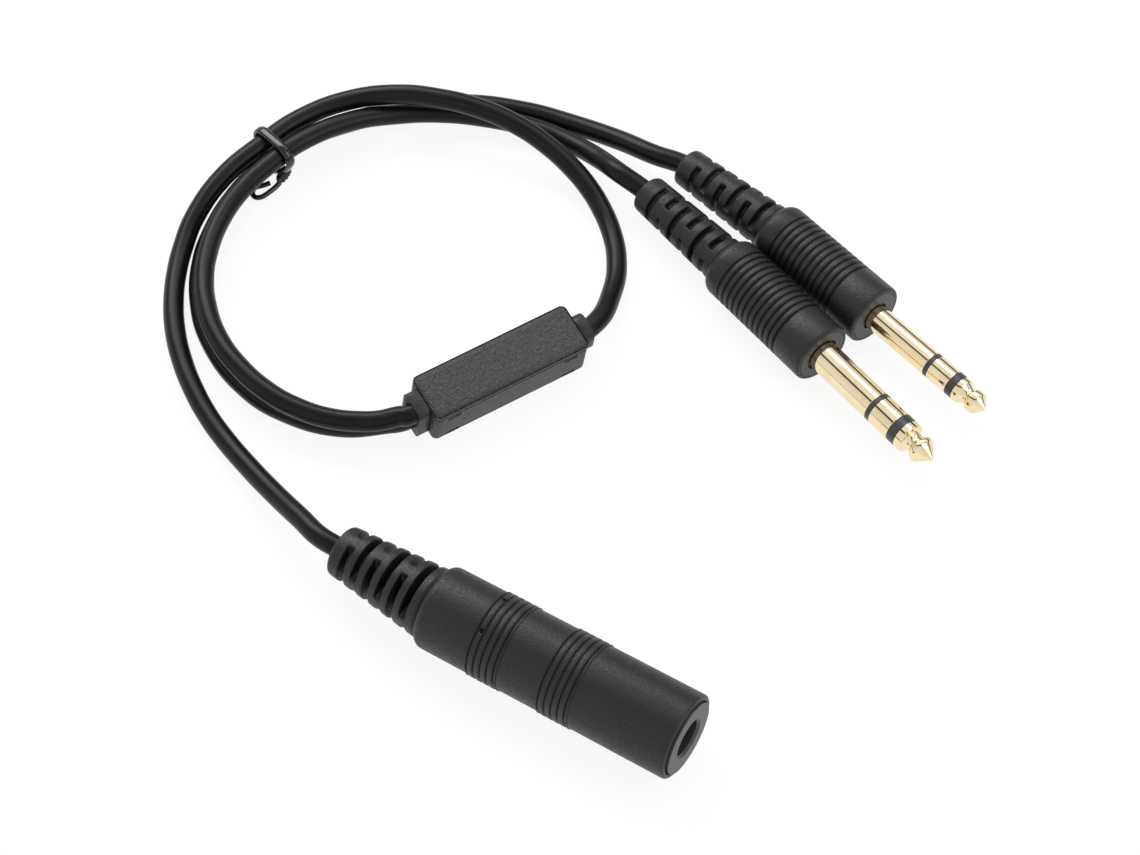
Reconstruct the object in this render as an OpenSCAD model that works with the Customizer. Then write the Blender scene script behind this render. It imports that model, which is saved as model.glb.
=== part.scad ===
// Adapter cable for an aviation headset: a four-contact line socket, a matching box and
// two three-contact plugs, on three round cords that a twist tie gathers.
// Millimetres. The table is z = 0. The socket lies along X with its mouth towards +X.

/* [Socket grip] */
// Outside diameter of the grip at its mouth
socket_d = 16.8; // [16.4:0.1:20]
// Outside diameter of the grip at its boot end
socket_rear_d = 16.4; // [16:0.1:20]
// Length of the grip
socket_grip_l = 53.1; // [52.5:0.1:62]
// Radius of the rounded shoulder at the boot end
socket_shoulder_r = 1.8; // [0.5:0.1:2.2]
// Radius of the rounded edge at the mouth
socket_edge_r = 0.6; // [0.2:0.1:0.8]
// Distance from the grip's front to the front grip band
front_band_s = 19.5; // [16:0.1:26]
// Distance from the grip's front to the rear grip band
rear_band_s = 34.6; // [34:0.1:42]
// Length of each grip band
band_l = 6.6; // [6.5:0.1:8]
// How far the bands stand out from the grip
band_raise = 0.2; // [0.05:0.05:0.4]
// Number of grooves in a band
band_grooves = 5; // [3:1:5]
// Distance between the grooves of a band
band_groove_pitch = 1.4; // [1:0.05:1.45]
// Width of a groove in a band
band_groove_w = 0.5; // [0.2:0.05:0.6]
// Depth of a groove in a band
band_groove_depth = 0.35; // [0.1:0.05:0.5]

/* [Socket insert and contacts] */
// Diameter of the socket's bore, for a plug of 7.13
bore_d = 7.2; // [6.4:0.1:7.4]
// Depth of the bore
bore_l = 38; // [37:0.1:39.5]
// Length of the close-fitting front stretch of the bore
bushing_l = 10.6; // [6:0.1:10.8]
// Diameter of the bore behind its front stretch
bore_relief_d = 7.6; // [7.5:0.1:8]
// Chamfer at the mouth of the bore
mouth_chamfer = 0.5; // [0.2:0.1:1]
// Diameter of the insert's rim, which stands in the mouth
insert_rim_d = 14.3; // [14:0.1:15]
// Thickness of the insert's rim
insert_rim_t = 1.8; // [1.3:0.1:3]
// How far the insert's face stands proud of the grip
insert_proud = 0.9; // [0.2:0.1:1]
// Width of the seam round the insert's rim
insert_seam = 0.25; // [0.05:0.05:0.3]
// Diameter of the insert behind its rim
insert_d = 13.4; // [12.8:0.1:13.6]
// Length of the insert
insert_l = 43; // [42:0.1:44]
// Distances from the insert's face to the four contact points
contact_s = [12.5, 19, 25.5, 32.5];
// Length of a contact leaf from its bend to its contact point
leaf_l = 9; // [8:0.1:9.2]
// Width of a contact leaf
leaf_w = 2.4; // [2:0.1:2.8]
// Thickness of a contact leaf
leaf_t = 0.4; // [0.25:0.05:0.6]
// Distance from the bore's axis to the middle of a leaf
leaf_r = 5; // [4.8:0.05:5.3]
// How far a contact point reaches into the bore
contact_reach = 0.5; // [0.2:0.05:0.6]
// Length of the solder lug behind the insert
lug_l = 2.4; // [1.5:0.1:3]

/* [Boots] */
// Length of the socket's boot
socket_boot_l = 21; // [20.8:0.1:26]
// Diameter of the socket's boot at the grip
socket_boot_d = 14; // [12.5:0.1:14.4]
// Diameter of the socket's boot at the cord
socket_boot_tip_d = 10.1; // [8.4:0.1:11]
// Plain length of the socket's boot at the cord
socket_boot_cap = 2.7; // [2:0.1:2.8]
// Distance between slots along the socket's boot
socket_slot_pitch = 3; // [2.4:0.05:3]
// Width of the slots in the socket's boot
socket_slot_w = 1.5; // [0.8:0.1:1.6]
// Length of a plug's boot
plug_boot_l = 23.3; // [23.2:0.1:28]
// Diameter of a plug's boot at the barrel
plug_boot_d = 9.6; // [8.8:0.1:10.4]
// Diameter of a plug's boot at the cord
plug_boot_tip_d = 7.9; // [7.2:0.1:8]
// Plain length of a plug's boot at the cord
plug_boot_cap = 3.7; // [2:0.1:3.8]
// Distance between slots along a plug's boot
plug_slot_pitch = 3.3; // [2.8:0.05:3.3]
// Width of the slots in a plug's boot
plug_slot_w = 1.4; // [0.8:0.1:1.6]
// Number of slot stations along each boot
boot_slots = 6; // [3:1:6]
// Width of the webs between two slots of the socket's boot
socket_web_w = 2.4; // [2:0.1:4]
// Width of the webs between two slots of a plug's boot
plug_web_w = 2.6; // [2:0.1:3.4]
// Radius of the rounded edge at a boot's cord end
boot_edge_r = 0.9; // [0.3:0.1:1.2]
// Wall of the boot around the cord, at the bottom of the slots
boot_core_wall = 0.6; // [0.4:0.05:0.8]

/* [Plug barrels] */
// Outside diameter of a plug's barrel
barrel_d = 12.7; // [12:0.1:12.8]
// Length of a plug's barrel
barrel_l = 28.7; // [28.4:0.1:32]
// Radius of the barrel's rounded shoulder
barrel_shoulder_r = 2.1; // [0.5:0.1:2.2]
// Radius of the barrel's front edge
barrel_edge_r = 0.6; // [0.2:0.1:0.8]
// Number of grooves round a barrel
barrel_grooves = 12; // [6:1:12]
// Distance between the grooves of a barrel
barrel_groove_pitch = 1.5; // [1:0.01:1.52]
// Width of a groove in a barrel
barrel_groove_w = 0.45; // [0.2:0.05:0.6]
// Depth of a groove in a barrel
barrel_groove_depth = 0.35; // [0.1:0.05:0.5]
// Plain length of a barrel in front of its grooves
barrel_collar = 7.1; // [5:0.1:8]
// Diameter of the disc that closes a barrel's front
nose_d = 10.8; // [9.6:0.1:11]
// Thickness of the disc that closes a barrel's front
nose_t = 2.4; // [1.5:0.1:4]

/* [Front plug] */
// Shaft diameter of the front plug
front_shaft_d = 6.35; // [6:0.05:6.5]
// Length of the front plug's sleeve
front_sleeve_l = 15.8; // [12:0.1:16]
// Length of its first insulating ring
front_gap_one = 1.1; // [0.6:0.1:1.6]
// Length of its ring contact
front_ring_l = 5.1; // [4:0.1:6]
// Length of its second insulating ring
front_gap_two = 2; // [1:0.1:2.4]
// Length of the tip contact
front_tip_l = 7.7; // [7.5:0.1:9]
// Diameter of the tip's neck
front_neck_d = 3.9; // [3.4:0.1:4.4]
// Diameter of the tip's ball
front_ball_d = 5.6; // [5:0.1:6]

/* [Rear plug] */
// Shaft diameter of the rear plug
rear_shaft_d = 5.23; // [5:0.01:5.5]
// Length of the rear plug's sleeve
rear_sleeve_l = 15.6; // [13:0.1:17]
// Length of its first insulating ring
rear_gap_one = 1; // [0.6:0.1:1.6]
// Length of its ring contact
rear_ring_l = 4.9; // [4:0.1:6]
// Length of its second insulating ring
rear_gap_two = 1.7; // [1:0.1:2.4]
// Length of the tip contact
rear_tip_l = 6.9; // [6.2:0.1:7.6]
// Diameter of the tip's neck
rear_neck_d = 3.6; // [3.2:0.1:4]
// Diameter of the tip's head
rear_ball_d = 4.7; // [4.4:0.1:5]

/* [Matching box] */
// Length of the box
box_l = 34; // [32:0.1:40]
// Width of the box
box_w = 10.1; // [9.6:0.1:13]
// Height of the box
box_h = 9.7; // [9.2:0.1:12]
// Wall of the box
box_wall = 1.1; // [0.8:0.05:1.2]
// Thickness of the cover's plate
cover_t = 1.6; // [1:0.1:2]
// Radius of the box's upright corners
box_corner_r = 1.2; // [0.6:0.1:1.6]
// Bevel round the cover and round the floor
box_bevel = 0.6; // [0.2:0.1:0.9]
// Length of a latch window
window_l = 2.9; // [2:0.1:4]
// Height of a latch window
window_h = 0.5; // [0.3:0.05:0.7]
// Distance from the box's end to a window
window_inset = 2.6; // [2:0.1:4]
// Length of the collars at the box's ends
collar_l = 2.6; // [1:0.1:3]
// Width of the collars
collar_w = 6.2; // [6:0.1:8.6]
// Height of the single cord's collar
main_collar_h = 7.4; // [6.6:0.1:8]
// Height of the twin cords' collar
twin_collar_h = 8.8; // [8.7:0.1:9]
// Radius of the single cord's collar's corners
main_collar_r = 2.6; // [0.5:0.1:3.4]
// Radius of the twin cords' collar's corners
twin_collar_r = 1.2; // [0.4:0.1:1.3]
// Thickness of the circuit board
board_t = 0.8; // [0.6:0.1:1.2]
// Height of the posts under the circuit board
board_post_h = 0.8; // [0.4:0.1:1]

/* [Cords and tie] */
// Diameter of the socket's cord
main_cord_d = 4.1; // [3.6:0.1:4.1]
// Diameter of each plug's cord
twin_cord_d = 4.1; // [3.4:0.1:4.1]
// Width of the tie's flat strip
tie_w = 1.8; // [1:0.1:2.4]
// Thickness of the tie's flat strip
tie_t = 0.8; // [0.6:0.1:0.9]

/* [Hidden] */
$fn = 48;

eps = 0.01;
// Gap between pieces that are pressed or moulded together
fit = 0.02;
// Gap round a leaf in its slot, and round a cord in its hole
loose = 0.15;

black = "#262628";
gold = "#d8b25a";
grey = "#4a4a4c";
copper = "#b5703c";

// Diameter of the grip, and of a band on it, at a distance from the grip's front
function grip_d(s) = socket_d + (socket_rear_d - socket_d) * s / socket_grip_l;
function band_d(s) = grip_d(s + band_l / 2) + 2 * band_raise;

// The socket's place: it lies on the table and its length is centred on the origin
socket_l = insert_proud + socket_grip_l + socket_boot_l;
socket_front_x = socket_l / 2 - insert_proud;
socket_axis_z = max(socket_d, band_d(front_band_s), band_d(rear_band_s)) / 2;

// Inside the grip: the wiring space behind the insert, then the boot's flange
socket_rear_wall = 3;
flange_t = 1.6;
flange_s = socket_grip_l - socket_rear_wall;
wiring_d = 11.6;
socket_neck_d = 8.4;
clamp_l = 2.4;
clamp_wall = 0.75;
// Diameter of a core, with its insulation
wire_d = 0.8;

// Places of the plugs, each given by the middle of its barrel's face, its heading and its dip
front_face = [15.1, 88.2];
front_heading = -19.6;
front_dip = 0;
front_boot_turn = 2;
rear_face = [19.2, 101.7];
rear_heading = -16.8;
rear_dip = 0;
rear_boot_turn = 4.8;

// How far the socket's boot turns aside where the cord bends it
socket_boot_turn = -3;

// How far each boot's pattern of slots is turned round its axis
socket_boot_roll = -3;
// Two small round dimples on the upper side of the grip, in the last ridge of the rear band
dimple_s = rear_band_s + 5.4;
dimple_turns = [209, 155];
dimple_d = 1;
dimple_depth = 0.7;
front_boot_roll = -44;
rear_boot_roll = -5;

// Inside a barrel
barrel_rear_wall = 2.4;
plug_neck_d = 7.2;
plug_flange_d = 8.2;
barrel_bore_d = 8.6;
tube_wall = 0.4;
rod_d = 1.4;
tail_step = 1.8;

// Place of the box: the middle of its floor, its heading and its roll on one edge
box_heading = 63.3;
box_roll = 12;
box_at = [-36.6, 52.8, (box_w / 2 - box_bevel) * sin(box_roll)];
// The twin cords leave the box one above the other, a little off the upright
twin_lean = 0.5;
twin_rise = (twin_cord_d + 0.06) / 2;
collar_neck_gap = 0.6;
// How far the twin cords' jackets stop short of the box's end wall
jacket_stop = 0.3;

// Where the three cords pass through the tie, and which way they run there
tie_at = [-103.8, 74.8];
tie_heading = 73;

// ---------- shared shapes ----------

// Points along an arc about a centre
function arc(centre, radius, from, to, steps = 6) = [
    for (i = [0:steps])
        let (a = from + (to - from) * i / steps)
        centre + radius * [cos(a), sin(a)]
];

// A point given along a plug's axis and across it, in the part's frame
function plug_point(face, heading, dip, p) =
    let (axis = [cos(heading) * cos(dip), sin(heading) * cos(dip), -sin(dip)])
    let (side = [-sin(heading), cos(heading), 0])
    let (down = [-cos(heading) * sin(dip), -sin(heading) * sin(dip), -cos(dip)])
    [face.x, face.y, barrel_d / 2] + down * p.x + side * p.y + axis * p.z;

// A point on a boot's axis, a distance behind the barrel
function boot_point(face, heading, dip, turn, s) =
    plug_point(face, heading, dip, [0, -s * sin(turn), -barrel_l - s * cos(turn)]);

// A point of the box's own frame, in the part's frame
function box_point(p) =
    let (y = p.y * cos(box_roll) - p.z * sin(box_roll))
    let (z = p.y * sin(box_roll) + p.z * cos(box_roll))
    box_at + [
        p.x * cos(box_heading) - y * sin(box_heading),
        p.x * sin(box_heading) + y * cos(box_heading),
        z
    ];

module on_socket() {
    translate([socket_front_x, 0, socket_axis_z]) rotate([0, 90, 0]) children();
}

// The insert's own frame, which starts at its face
module on_insert() {
    on_socket() translate([0, 0, insert_proud]) children();
}

module on_plug(face, heading, dip) {
    translate([face.x, face.y, barrel_d / 2]) rotate([0, 90 + dip, heading]) children();
}

module on_box() {
    translate(box_at) rotate([box_roll, 0, box_heading]) children();
}

// A turned body from z = -length to 0, rounded at both ends
module turned_body(front_d, rear_d, length, edge_r, shoulder_r) {
    rotate_extrude() polygon(concat(
        [[0, -length]],
        arc([rear_d / 2 - shoulder_r, -length + shoulder_r], shoulder_r, -90, 0),
        arc([front_d / 2 - edge_r, -edge_r], edge_r, 0, 90, 4),
        [[0, 0]]
    ));
}

// A ring-shaped cut round an axis
module groove(outer_d, width, depth) {
    rotate_extrude() translate([outer_d / 2 - depth, 0]) square([depth + 1, width]);
}

// Two slots facing each other, down to a core, with a web left on each side
module slot_pair(core_d, web_w, width) {
    difference() {
        cylinder(d = 30, h = width);
        translate([0, 0, -1]) cylinder(d = core_d, h = width + 2);
        translate([-15, -web_w / 2, -1]) cube([30, web_w, width + 2]);
    }
}

// The slotted cone of a boot, from z = -length to a little past its root
module slotted_cone(root_d, tip_d, length, cap, pitch, slot_w, web_w, core_d, roll) {
    difference() {
        rotate_extrude() polygon(concat(
            [[0, -length]],
            arc([tip_d / 2 - boot_edge_r, -length + boot_edge_r], boot_edge_r, -90, 0, 5),
            [[root_d / 2, 0], [root_d / 2, 1], [0, 1]]
        ));
        for (i = [0:boot_slots - 1])
            translate([0, 0, -length + cap + i * pitch])
                rotate([0, 0, roll + 90 * (i % 2)]) slot_pair(core_d, web_w, slot_w);
    }
}

// A boot's unturned root: a short stub, a neck through the grip's wall and a flange inside,
// bored a little wider than the turned boot, so the two bores meet at a clean step
module boot_root(root_d, neck_d, wall, flange_d, bore) {
    stub = 1;
    difference() {
        union() {
            translate([0, 0, -stub]) cylinder(d = root_d - 0.4, h = stub);
            translate([0, 0, -eps]) cylinder(d = neck_d, h = wall + fit + 2 * eps);
            translate([0, 0, wall + fit]) cylinder(d = flange_d, h = flange_t - fit);
        }
        translate([0, 0, -stub - 1]) cylinder(d = bore, h = wall + flange_t + stub + 2);
    }
}

// A slotted boot behind z = 0, turned about its root where the cord bends it
module boot(root_d, tip_d, length, cap, pitch, slot_w, web_w, cord_d, neck_d, wall,
        flange_d, turn, roll) {
    bore = cord_d + 2 * loose;
    difference() {
        union() {
            intersection() {
                rotate([-turn, 0, 0]) slotted_cone(root_d, tip_d, length, cap, pitch,
                    slot_w, web_w, bore + 2 * boot_core_wall, roll);
                translate([-20, -20, -length - 5]) cube([40, 40, length + 5]);
            }
            boot_root(root_d, neck_d, wall, flange_d, bore + 2 * loose);
        }
        rotate([-turn, 0, 0]) translate([0, 0, -length - 1])
            cylinder(d = bore, h = length + 1 + wall / 2);
    }
}

// A straight round wire between two points
module wire(a, b, d = wire_d) {
    run = b - a;
    translate(a) rotate([0, acos(run.z / norm(run)), atan2(run.y, run.x)])
        cylinder(d = d, h = norm(run));
}

// A ring squeezed on a cord's end
module clamp(cord_d) {
    difference() {
        cylinder(d = cord_d + 2 * loose + 2 * clamp_wall, h = clamp_l);
        translate([0, 0, -1]) cylinder(d = cord_d + 2 * loose, h = clamp_l + 2);
    }
}

// ---------- the socket ----------

module socket_shell() {
    color(black) on_socket() difference() {
        union() {
            turned_body(socket_d, socket_rear_d, socket_grip_l, socket_edge_r, socket_shoulder_r);
            for (s = [front_band_s, rear_band_s])
                translate([0, 0, -s - band_l]) cylinder(d = band_d(s), h = band_l);
        }
        for (s = [front_band_s, rear_band_s], i = [0:band_grooves - 1])
            translate([0, 0, -s - band_margin - i * band_groove_pitch - band_groove_w])
                groove(band_d(s), band_groove_w, band_groove_depth);
        for (turn = dimple_turns)
            translate([0, 0, -dimple_s]) rotate([0, 0, turn]) rotate([0, 90, 0])
                translate([0, 0, socket_d / 2 - dimple_depth]) cylinder(d = dimple_d, h = 3);
        translate([0, 0, insert_proud - insert_rim_t - fit])
            cylinder(d = insert_rim_d + 2 * insert_seam, h = insert_rim_t + 1);
        translate([0, 0, insert_proud - insert_l - fit])
            cylinder(d = insert_d + 2 * fit, h = insert_l);
        translate([0, 0, -flange_s]) cylinder(d = wiring_d, h = flange_s);
        translate([0, 0, -socket_grip_l - 1])
            cylinder(d = socket_neck_d + 2 * fit, h = socket_rear_wall + 2);
    }
}

band_margin = (band_l - (band_grooves - 1) * band_groove_pitch - band_groove_w) / 2;

module socket_boot() {
    color(black) on_socket() translate([0, 0, -socket_grip_l])
        boot(socket_boot_d, socket_boot_tip_d, socket_boot_l, socket_boot_cap,
            socket_slot_pitch, socket_slot_w, socket_web_w, main_cord_d,
            socket_neck_d, socket_rear_wall, wiring_d - 2 * fit,
            socket_boot_turn, socket_boot_roll);
}

module socket_insert() {
    color(grey) on_insert() difference() {
        union() {
            translate([0, 0, -insert_rim_t]) cylinder(d = insert_rim_d, h = insert_rim_t);
            translate([0, 0, -insert_l]) cylinder(d = insert_d, h = insert_l - eps);
        }
        translate([0, 0, -bushing_l]) cylinder(d = bore_d, h = bushing_l + 1);
        translate([0, 0, -mouth_chamfer])
            cylinder(d1 = bore_d, d2 = bore_d + 2 * mouth_chamfer + 2 * eps,
                h = mouth_chamfer + eps);
        translate([0, 0, -bore_l]) cylinder(d = bore_relief_d, h = bore_l - bushing_l);
        for (i = [0:len(contact_s) - 1]) rotate([0, 0, contact_angle(i)]) {
            // Window in which the leaf swings
            translate([0, -leaf_w / 2 - loose, -contact_s[i] - leaf_l - loose])
                cube([insert_d, leaf_w + 2 * loose, leaf_l + leaf_nose + 2 * loose]);
            // Channel of the leaf's tail, as far as the insert's rear
            translate([leaf_r - leaf_t / 2 - fit, -leaf_w / 2 - fit, -insert_l - 1])
                cube([insert_d, leaf_w + 2 * fit, insert_l + 1 - contact_s[i] - leaf_l]);
        }
    }
}

leaf_nose = 1.3;
bend_half = 1.1;
function contact_angle(i) = 90 * i;
function leaf_hinge_s(i) = contact_s[i] + leaf_l;

// One contact leaf, from its bend forwards to its contact point
module leaf(i) {
    inner = leaf_r - leaf_t / 2;
    outer = leaf_r + leaf_t / 2;
    point_r = bore_d / 2 - contact_reach;
    color(gold) on_insert() rotate([0, 0, contact_angle(i)])
        translate([0, leaf_w / 2, -leaf_hinge_s(i)]) rotate([90, 0, 0])
            linear_extrude(leaf_w) polygon([
                [inner, 0],
                [inner, leaf_l - bend_half - 0.6],
                [point_r, leaf_l - 0.3],
                [point_r, leaf_l + 0.3],
                [inner - 0.5, leaf_l + leaf_nose],
                [outer - 0.4, leaf_l + leaf_nose],
                [point_r + leaf_t + 0.2, leaf_l],
                [outer, leaf_l - bend_half - 0.3],
                [outer, 0]
            ]);
}

module sleeve_contact() { leaf(0); }
module second_ring_contact() { leaf(1); }
module first_ring_contact() { leaf(2); }
module tip_contact() { leaf(3); }

// The leaves' tails, which lie in the insert's channels and end in lugs
module solder_lugs() {
    color(gold) on_insert() for (i = [0:len(contact_s) - 1])
        rotate([0, 0, contact_angle(i)])
            translate([leaf_r - leaf_t / 2, -leaf_w / 2, -insert_l - lug_l])
                cube([leaf_t, leaf_w, insert_l + lug_l - leaf_hinge_s(i) - loose]);
}

cord_end_s = flange_s - flange_t - clamp_l - 0.6;

module socket_clamp() {
    color(gold) on_socket() translate([0, 0, -cord_end_s - 0.3 - clamp_l]) clamp(main_cord_d);
}

// Four cores from the cord's end to the lugs
module socket_wires() {
    color(copper) on_socket() for (i = [0:len(contact_s) - 1])
        rotate([0, 0, contact_angle(i)])
            wire([1.1, 0, -cord_end_s + wire_d / 2],
                [leaf_r - leaf_t / 2 - wire_d / 2, 0, insert_proud - insert_l - lug_l / 2]);
}

// ---------- the plugs ----------

module barrel(face, heading, dip) {
    color(black) on_plug(face, heading, dip) difference() {
        turned_body(barrel_d, barrel_d, barrel_l, barrel_edge_r, barrel_shoulder_r);
        for (i = [0:barrel_grooves - 1])
            translate([0, 0, -barrel_collar - i * barrel_groove_pitch - barrel_groove_w])
                groove(barrel_d, barrel_groove_w, barrel_groove_depth);
        translate([0, 0, -nose_t - fit]) cylinder(d = nose_d + 2 * fit, h = nose_t + 1);
        translate([0, 0, -barrel_l + barrel_rear_wall])
            cylinder(d = barrel_bore_d, h = barrel_l - barrel_rear_wall);
        translate([0, 0, -barrel_l - 1])
            cylinder(d = plug_neck_d + 2 * fit, h = barrel_rear_wall + 2);
    }
}

module plug_boot(face, heading, dip, turn, roll) {
    color(black) on_plug(face, heading, dip) translate([0, 0, -barrel_l])
        boot(plug_boot_d, plug_boot_tip_d, plug_boot_l, plug_boot_cap,
            plug_slot_pitch, plug_slot_w, plug_web_w, twin_cord_d,
            plug_neck_d, barrel_rear_wall, plug_flange_d, turn, roll);
}

// Diameters of the concentric tubes, from the rod outwards
inner_tube_d = rod_d + 2 * tube_wall;
ring_tube_d = inner_tube_d + 2 * tube_wall;
outer_tube_d = ring_tube_d + 2 * tube_wall;

// The disc that closes the barrel, recessed round the shaft's root
module nose(face, heading, dip, shaft_d) {
    color(grey) on_plug(face, heading, dip) translate([0, 0, -nose_t]) difference() {
        cylinder(d = nose_d, h = nose_t);
        translate([0, 0, -1]) cylinder(d = shaft_d - 2 * shank_step + 2 * fit, h = nose_t + 2);
        translate([0, 0, nose_t - nose_recess]) cylinder(d = shaft_d + 0.8, h = nose_t);
    }
}

// How far the sleeve's foot and the tubes' tails reach behind the barrel's face
sleeve_foot = 3.6;
function tail_back(i) = -nose_t - sleeve_foot - i * tail_step;
// Step at the root of a sleeve, and depth of the recess round it
shank_step = 0.3;
nose_recess = 0.6;

module plug_sleeve(face, heading, dip, shaft_d, length) {
    color(gold) on_plug(face, heading, dip) difference() {
        union() {
            cylinder(d = shaft_d, h = length);
            translate([0, 0, -nose_t - 2 * fit])
                cylinder(d = shaft_d - 2 * shank_step, h = nose_t + 3 * fit);
            translate([0, 0, tail_back(0)])
                cylinder(d = barrel_bore_d - 2 * fit, h = sleeve_foot - fit);
        }
        translate([0, 0, tail_back(0) - 1])
            cylinder(d = outer_tube_d + 2 * fit, h = length + sleeve_foot + nose_t + 2);
    }
}

module plug_ring(face, heading, dip, shaft_d, from, length) {
    color(gold) on_plug(face, heading, dip) difference() {
        union() {
            translate([0, 0, from + fit]) cylinder(d = shaft_d, h = length - 2 * fit);
            translate([0, 0, tail_back(1)]) cylinder(d = ring_tube_d, h = from - tail_back(1) + 1);
        }
        translate([0, 0, tail_back(1) - 1])
            cylinder(d = inner_tube_d + 2 * fit, h = from + length - tail_back(1) + 2);
    }
}

// An insulating collar with the tube that runs back inside the contact behind it
module insulator(face, heading, dip, shaft_d, from, length, tube_d, bore, back) {
    color(grey) on_plug(face, heading, dip) difference() {
        union() {
            translate([0, 0, from]) cylinder(d = shaft_d, h = length);
            translate([0, 0, back]) cylinder(d = tube_d, h = from - back + length / 2);
        }
        translate([0, 0, back - 1]) cylinder(d = bore, h = from + length - back + 2);
    }
}

module ring_insulator(face, heading, dip, shaft_d, from, length) {
    insulator(face, heading, dip, shaft_d, from + fit, length - fit,
        outer_tube_d, ring_tube_d + 2 * fit, tail_back(0));
}

module tip_insulator(face, heading, dip, shaft_d, from, length) {
    insulator(face, heading, dip, shaft_d, from, length - fit,
        inner_tube_d, rod_d + 2 * fit, tail_back(1));
}

// Radius of a tip's rounded point
apex_r = 0.45;

// Outline of a tip with a hollow neck, a round ball and a cone
function ball_tip(shaft_d, neck_d, ball_d, length) =
    let (neck_r = 1.2, neck_from = 265, neck_to = 120, neck_s = 0.36 * length)
    let (ball_r = 0.95, ball_from = -30, ball_to = 50, ball_s = 0.6 * length)
    concat(
        [[0, 0], [shaft_d / 2, 0], [shaft_d / 2, neck_s - neck_r - 0.2]],
        arc([neck_d / 2 + neck_r, neck_s], neck_r, neck_from, neck_to, 8),
        arc([ball_d / 2 - ball_r, ball_s], ball_r, ball_from, ball_to, 6),
        arc([0, length - apex_r], apex_r, 30, 90, 3)
    );

// Outline of a tip with a straight head and a cone
function cone_tip(shaft_d, neck_d, ball_d, length) = concat(
    [[0, 0], [shaft_d / 2, 0], [shaft_d / 2, 0.18 * length]],
    [[shaft_d / 2 - 0.25, 0.22 * length], [neck_d / 2, 0.33 * length], [neck_d / 2, 0.4 * length]],
    [[ball_d / 2 - 0.2, 0.47 * length], [ball_d / 2, 0.5 * length], [ball_d / 2, 0.7 * length]],
    [[ball_d / 2 - 0.15, 0.74 * length]],
    arc([0, length - apex_r], apex_r, 35, 90, 3)
);

module tip(face, heading, dip, outline, from) {
    color(gold) on_plug(face, heading, dip) {
        translate([0, 0, from]) rotate_extrude() polygon(outline);
        translate([0, 0, tail_back(2)]) cylinder(d = rod_d, h = from - tail_back(2) + 0.5);
    }
}

// Solder terminals: a washer with a tag on the end of each concentric contact
washer_t = 0.5;
tag_t = 0.4;
tag_w = 1.6;
tag_l = 4;
washer_d = [barrel_bore_d - 1.4, ring_tube_d + 1.2, rod_d + 1.6];
washer_bore = [outer_tube_d + 2 * fit, inner_tube_d + 2 * fit, 0];
function washer_back(i) = tail_back(i) - washer_t - fit;

module terminals(face, heading, dip) {
    color(gold) on_plug(face, heading, dip) for (i = [0:2])
        rotate([0, 0, 120 * i]) translate([0, 0, washer_back(i)]) difference() {
            union() {
                cylinder(d = washer_d[i], h = washer_t);
                translate([washer_d[i] / 2 - tag_t, -tag_w / 2, -tag_l])
                    cube([tag_t, tag_w, tag_l + washer_t / 2]);
            }
            if (washer_bore[i] > 0)
                translate([0, 0, -eps]) cylinder(d = washer_bore[i], h = washer_t + 1);
        }
}

plug_cord_end = barrel_l - barrel_rear_wall - flange_t - clamp_l - 0.6;

module plug_clamp(face, heading, dip) {
    color(gold) on_plug(face, heading, dip) translate([0, 0, -plug_cord_end - 0.3 - clamp_l])
        clamp(twin_cord_d);
}

// Three cores from the cord's end to the tags, each on the tag's inner side
module plug_wires(face, heading, dip) {
    color(copper) on_plug(face, heading, dip) for (i = [0:2]) {
        tag_r = washer_d[i] / 2 - tag_t - wire_d / 2;
        rotate([0, 0, 120 * i])
            wire([0.9, 0, -plug_cord_end + wire_d / 2],
                [max(tag_r, 0.6), 0, washer_back(i) - tag_l + 0.6 - (i == 2 ? 1 : 0)]);
    }
}

front_tip_s = front_sleeve_l + front_gap_one + front_ring_l + front_gap_two;
rear_tip_s = rear_sleeve_l + rear_gap_one + rear_ring_l + rear_gap_two;

module front_barrel() { barrel(front_face, front_heading, front_dip); }
module front_boot() {
    plug_boot(front_face, front_heading, front_dip, front_boot_turn, front_boot_roll);
}
module front_nose() { nose(front_face, front_heading, front_dip, front_shaft_d); }
module front_sleeve() {
    plug_sleeve(front_face, front_heading, front_dip, front_shaft_d, front_sleeve_l);
}
module front_ring() {
    plug_ring(front_face, front_heading, front_dip, front_shaft_d,
        front_sleeve_l + front_gap_one, front_ring_l);
}
module front_tip() {
    tip(front_face, front_heading, front_dip,
        ball_tip(front_shaft_d, front_neck_d, front_ball_d, front_tip_l), front_tip_s);
}
module front_ring_insulator() {
    ring_insulator(front_face, front_heading, front_dip, front_shaft_d,
        front_sleeve_l, front_gap_one);
}
module front_tip_insulator() {
    tip_insulator(front_face, front_heading, front_dip, front_shaft_d,
        front_sleeve_l + front_gap_one + front_ring_l, front_gap_two);
}
module front_terminals() { terminals(front_face, front_heading, front_dip); }
module front_clamp() { plug_clamp(front_face, front_heading, front_dip); }
module front_wires() { plug_wires(front_face, front_heading, front_dip); }

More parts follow.
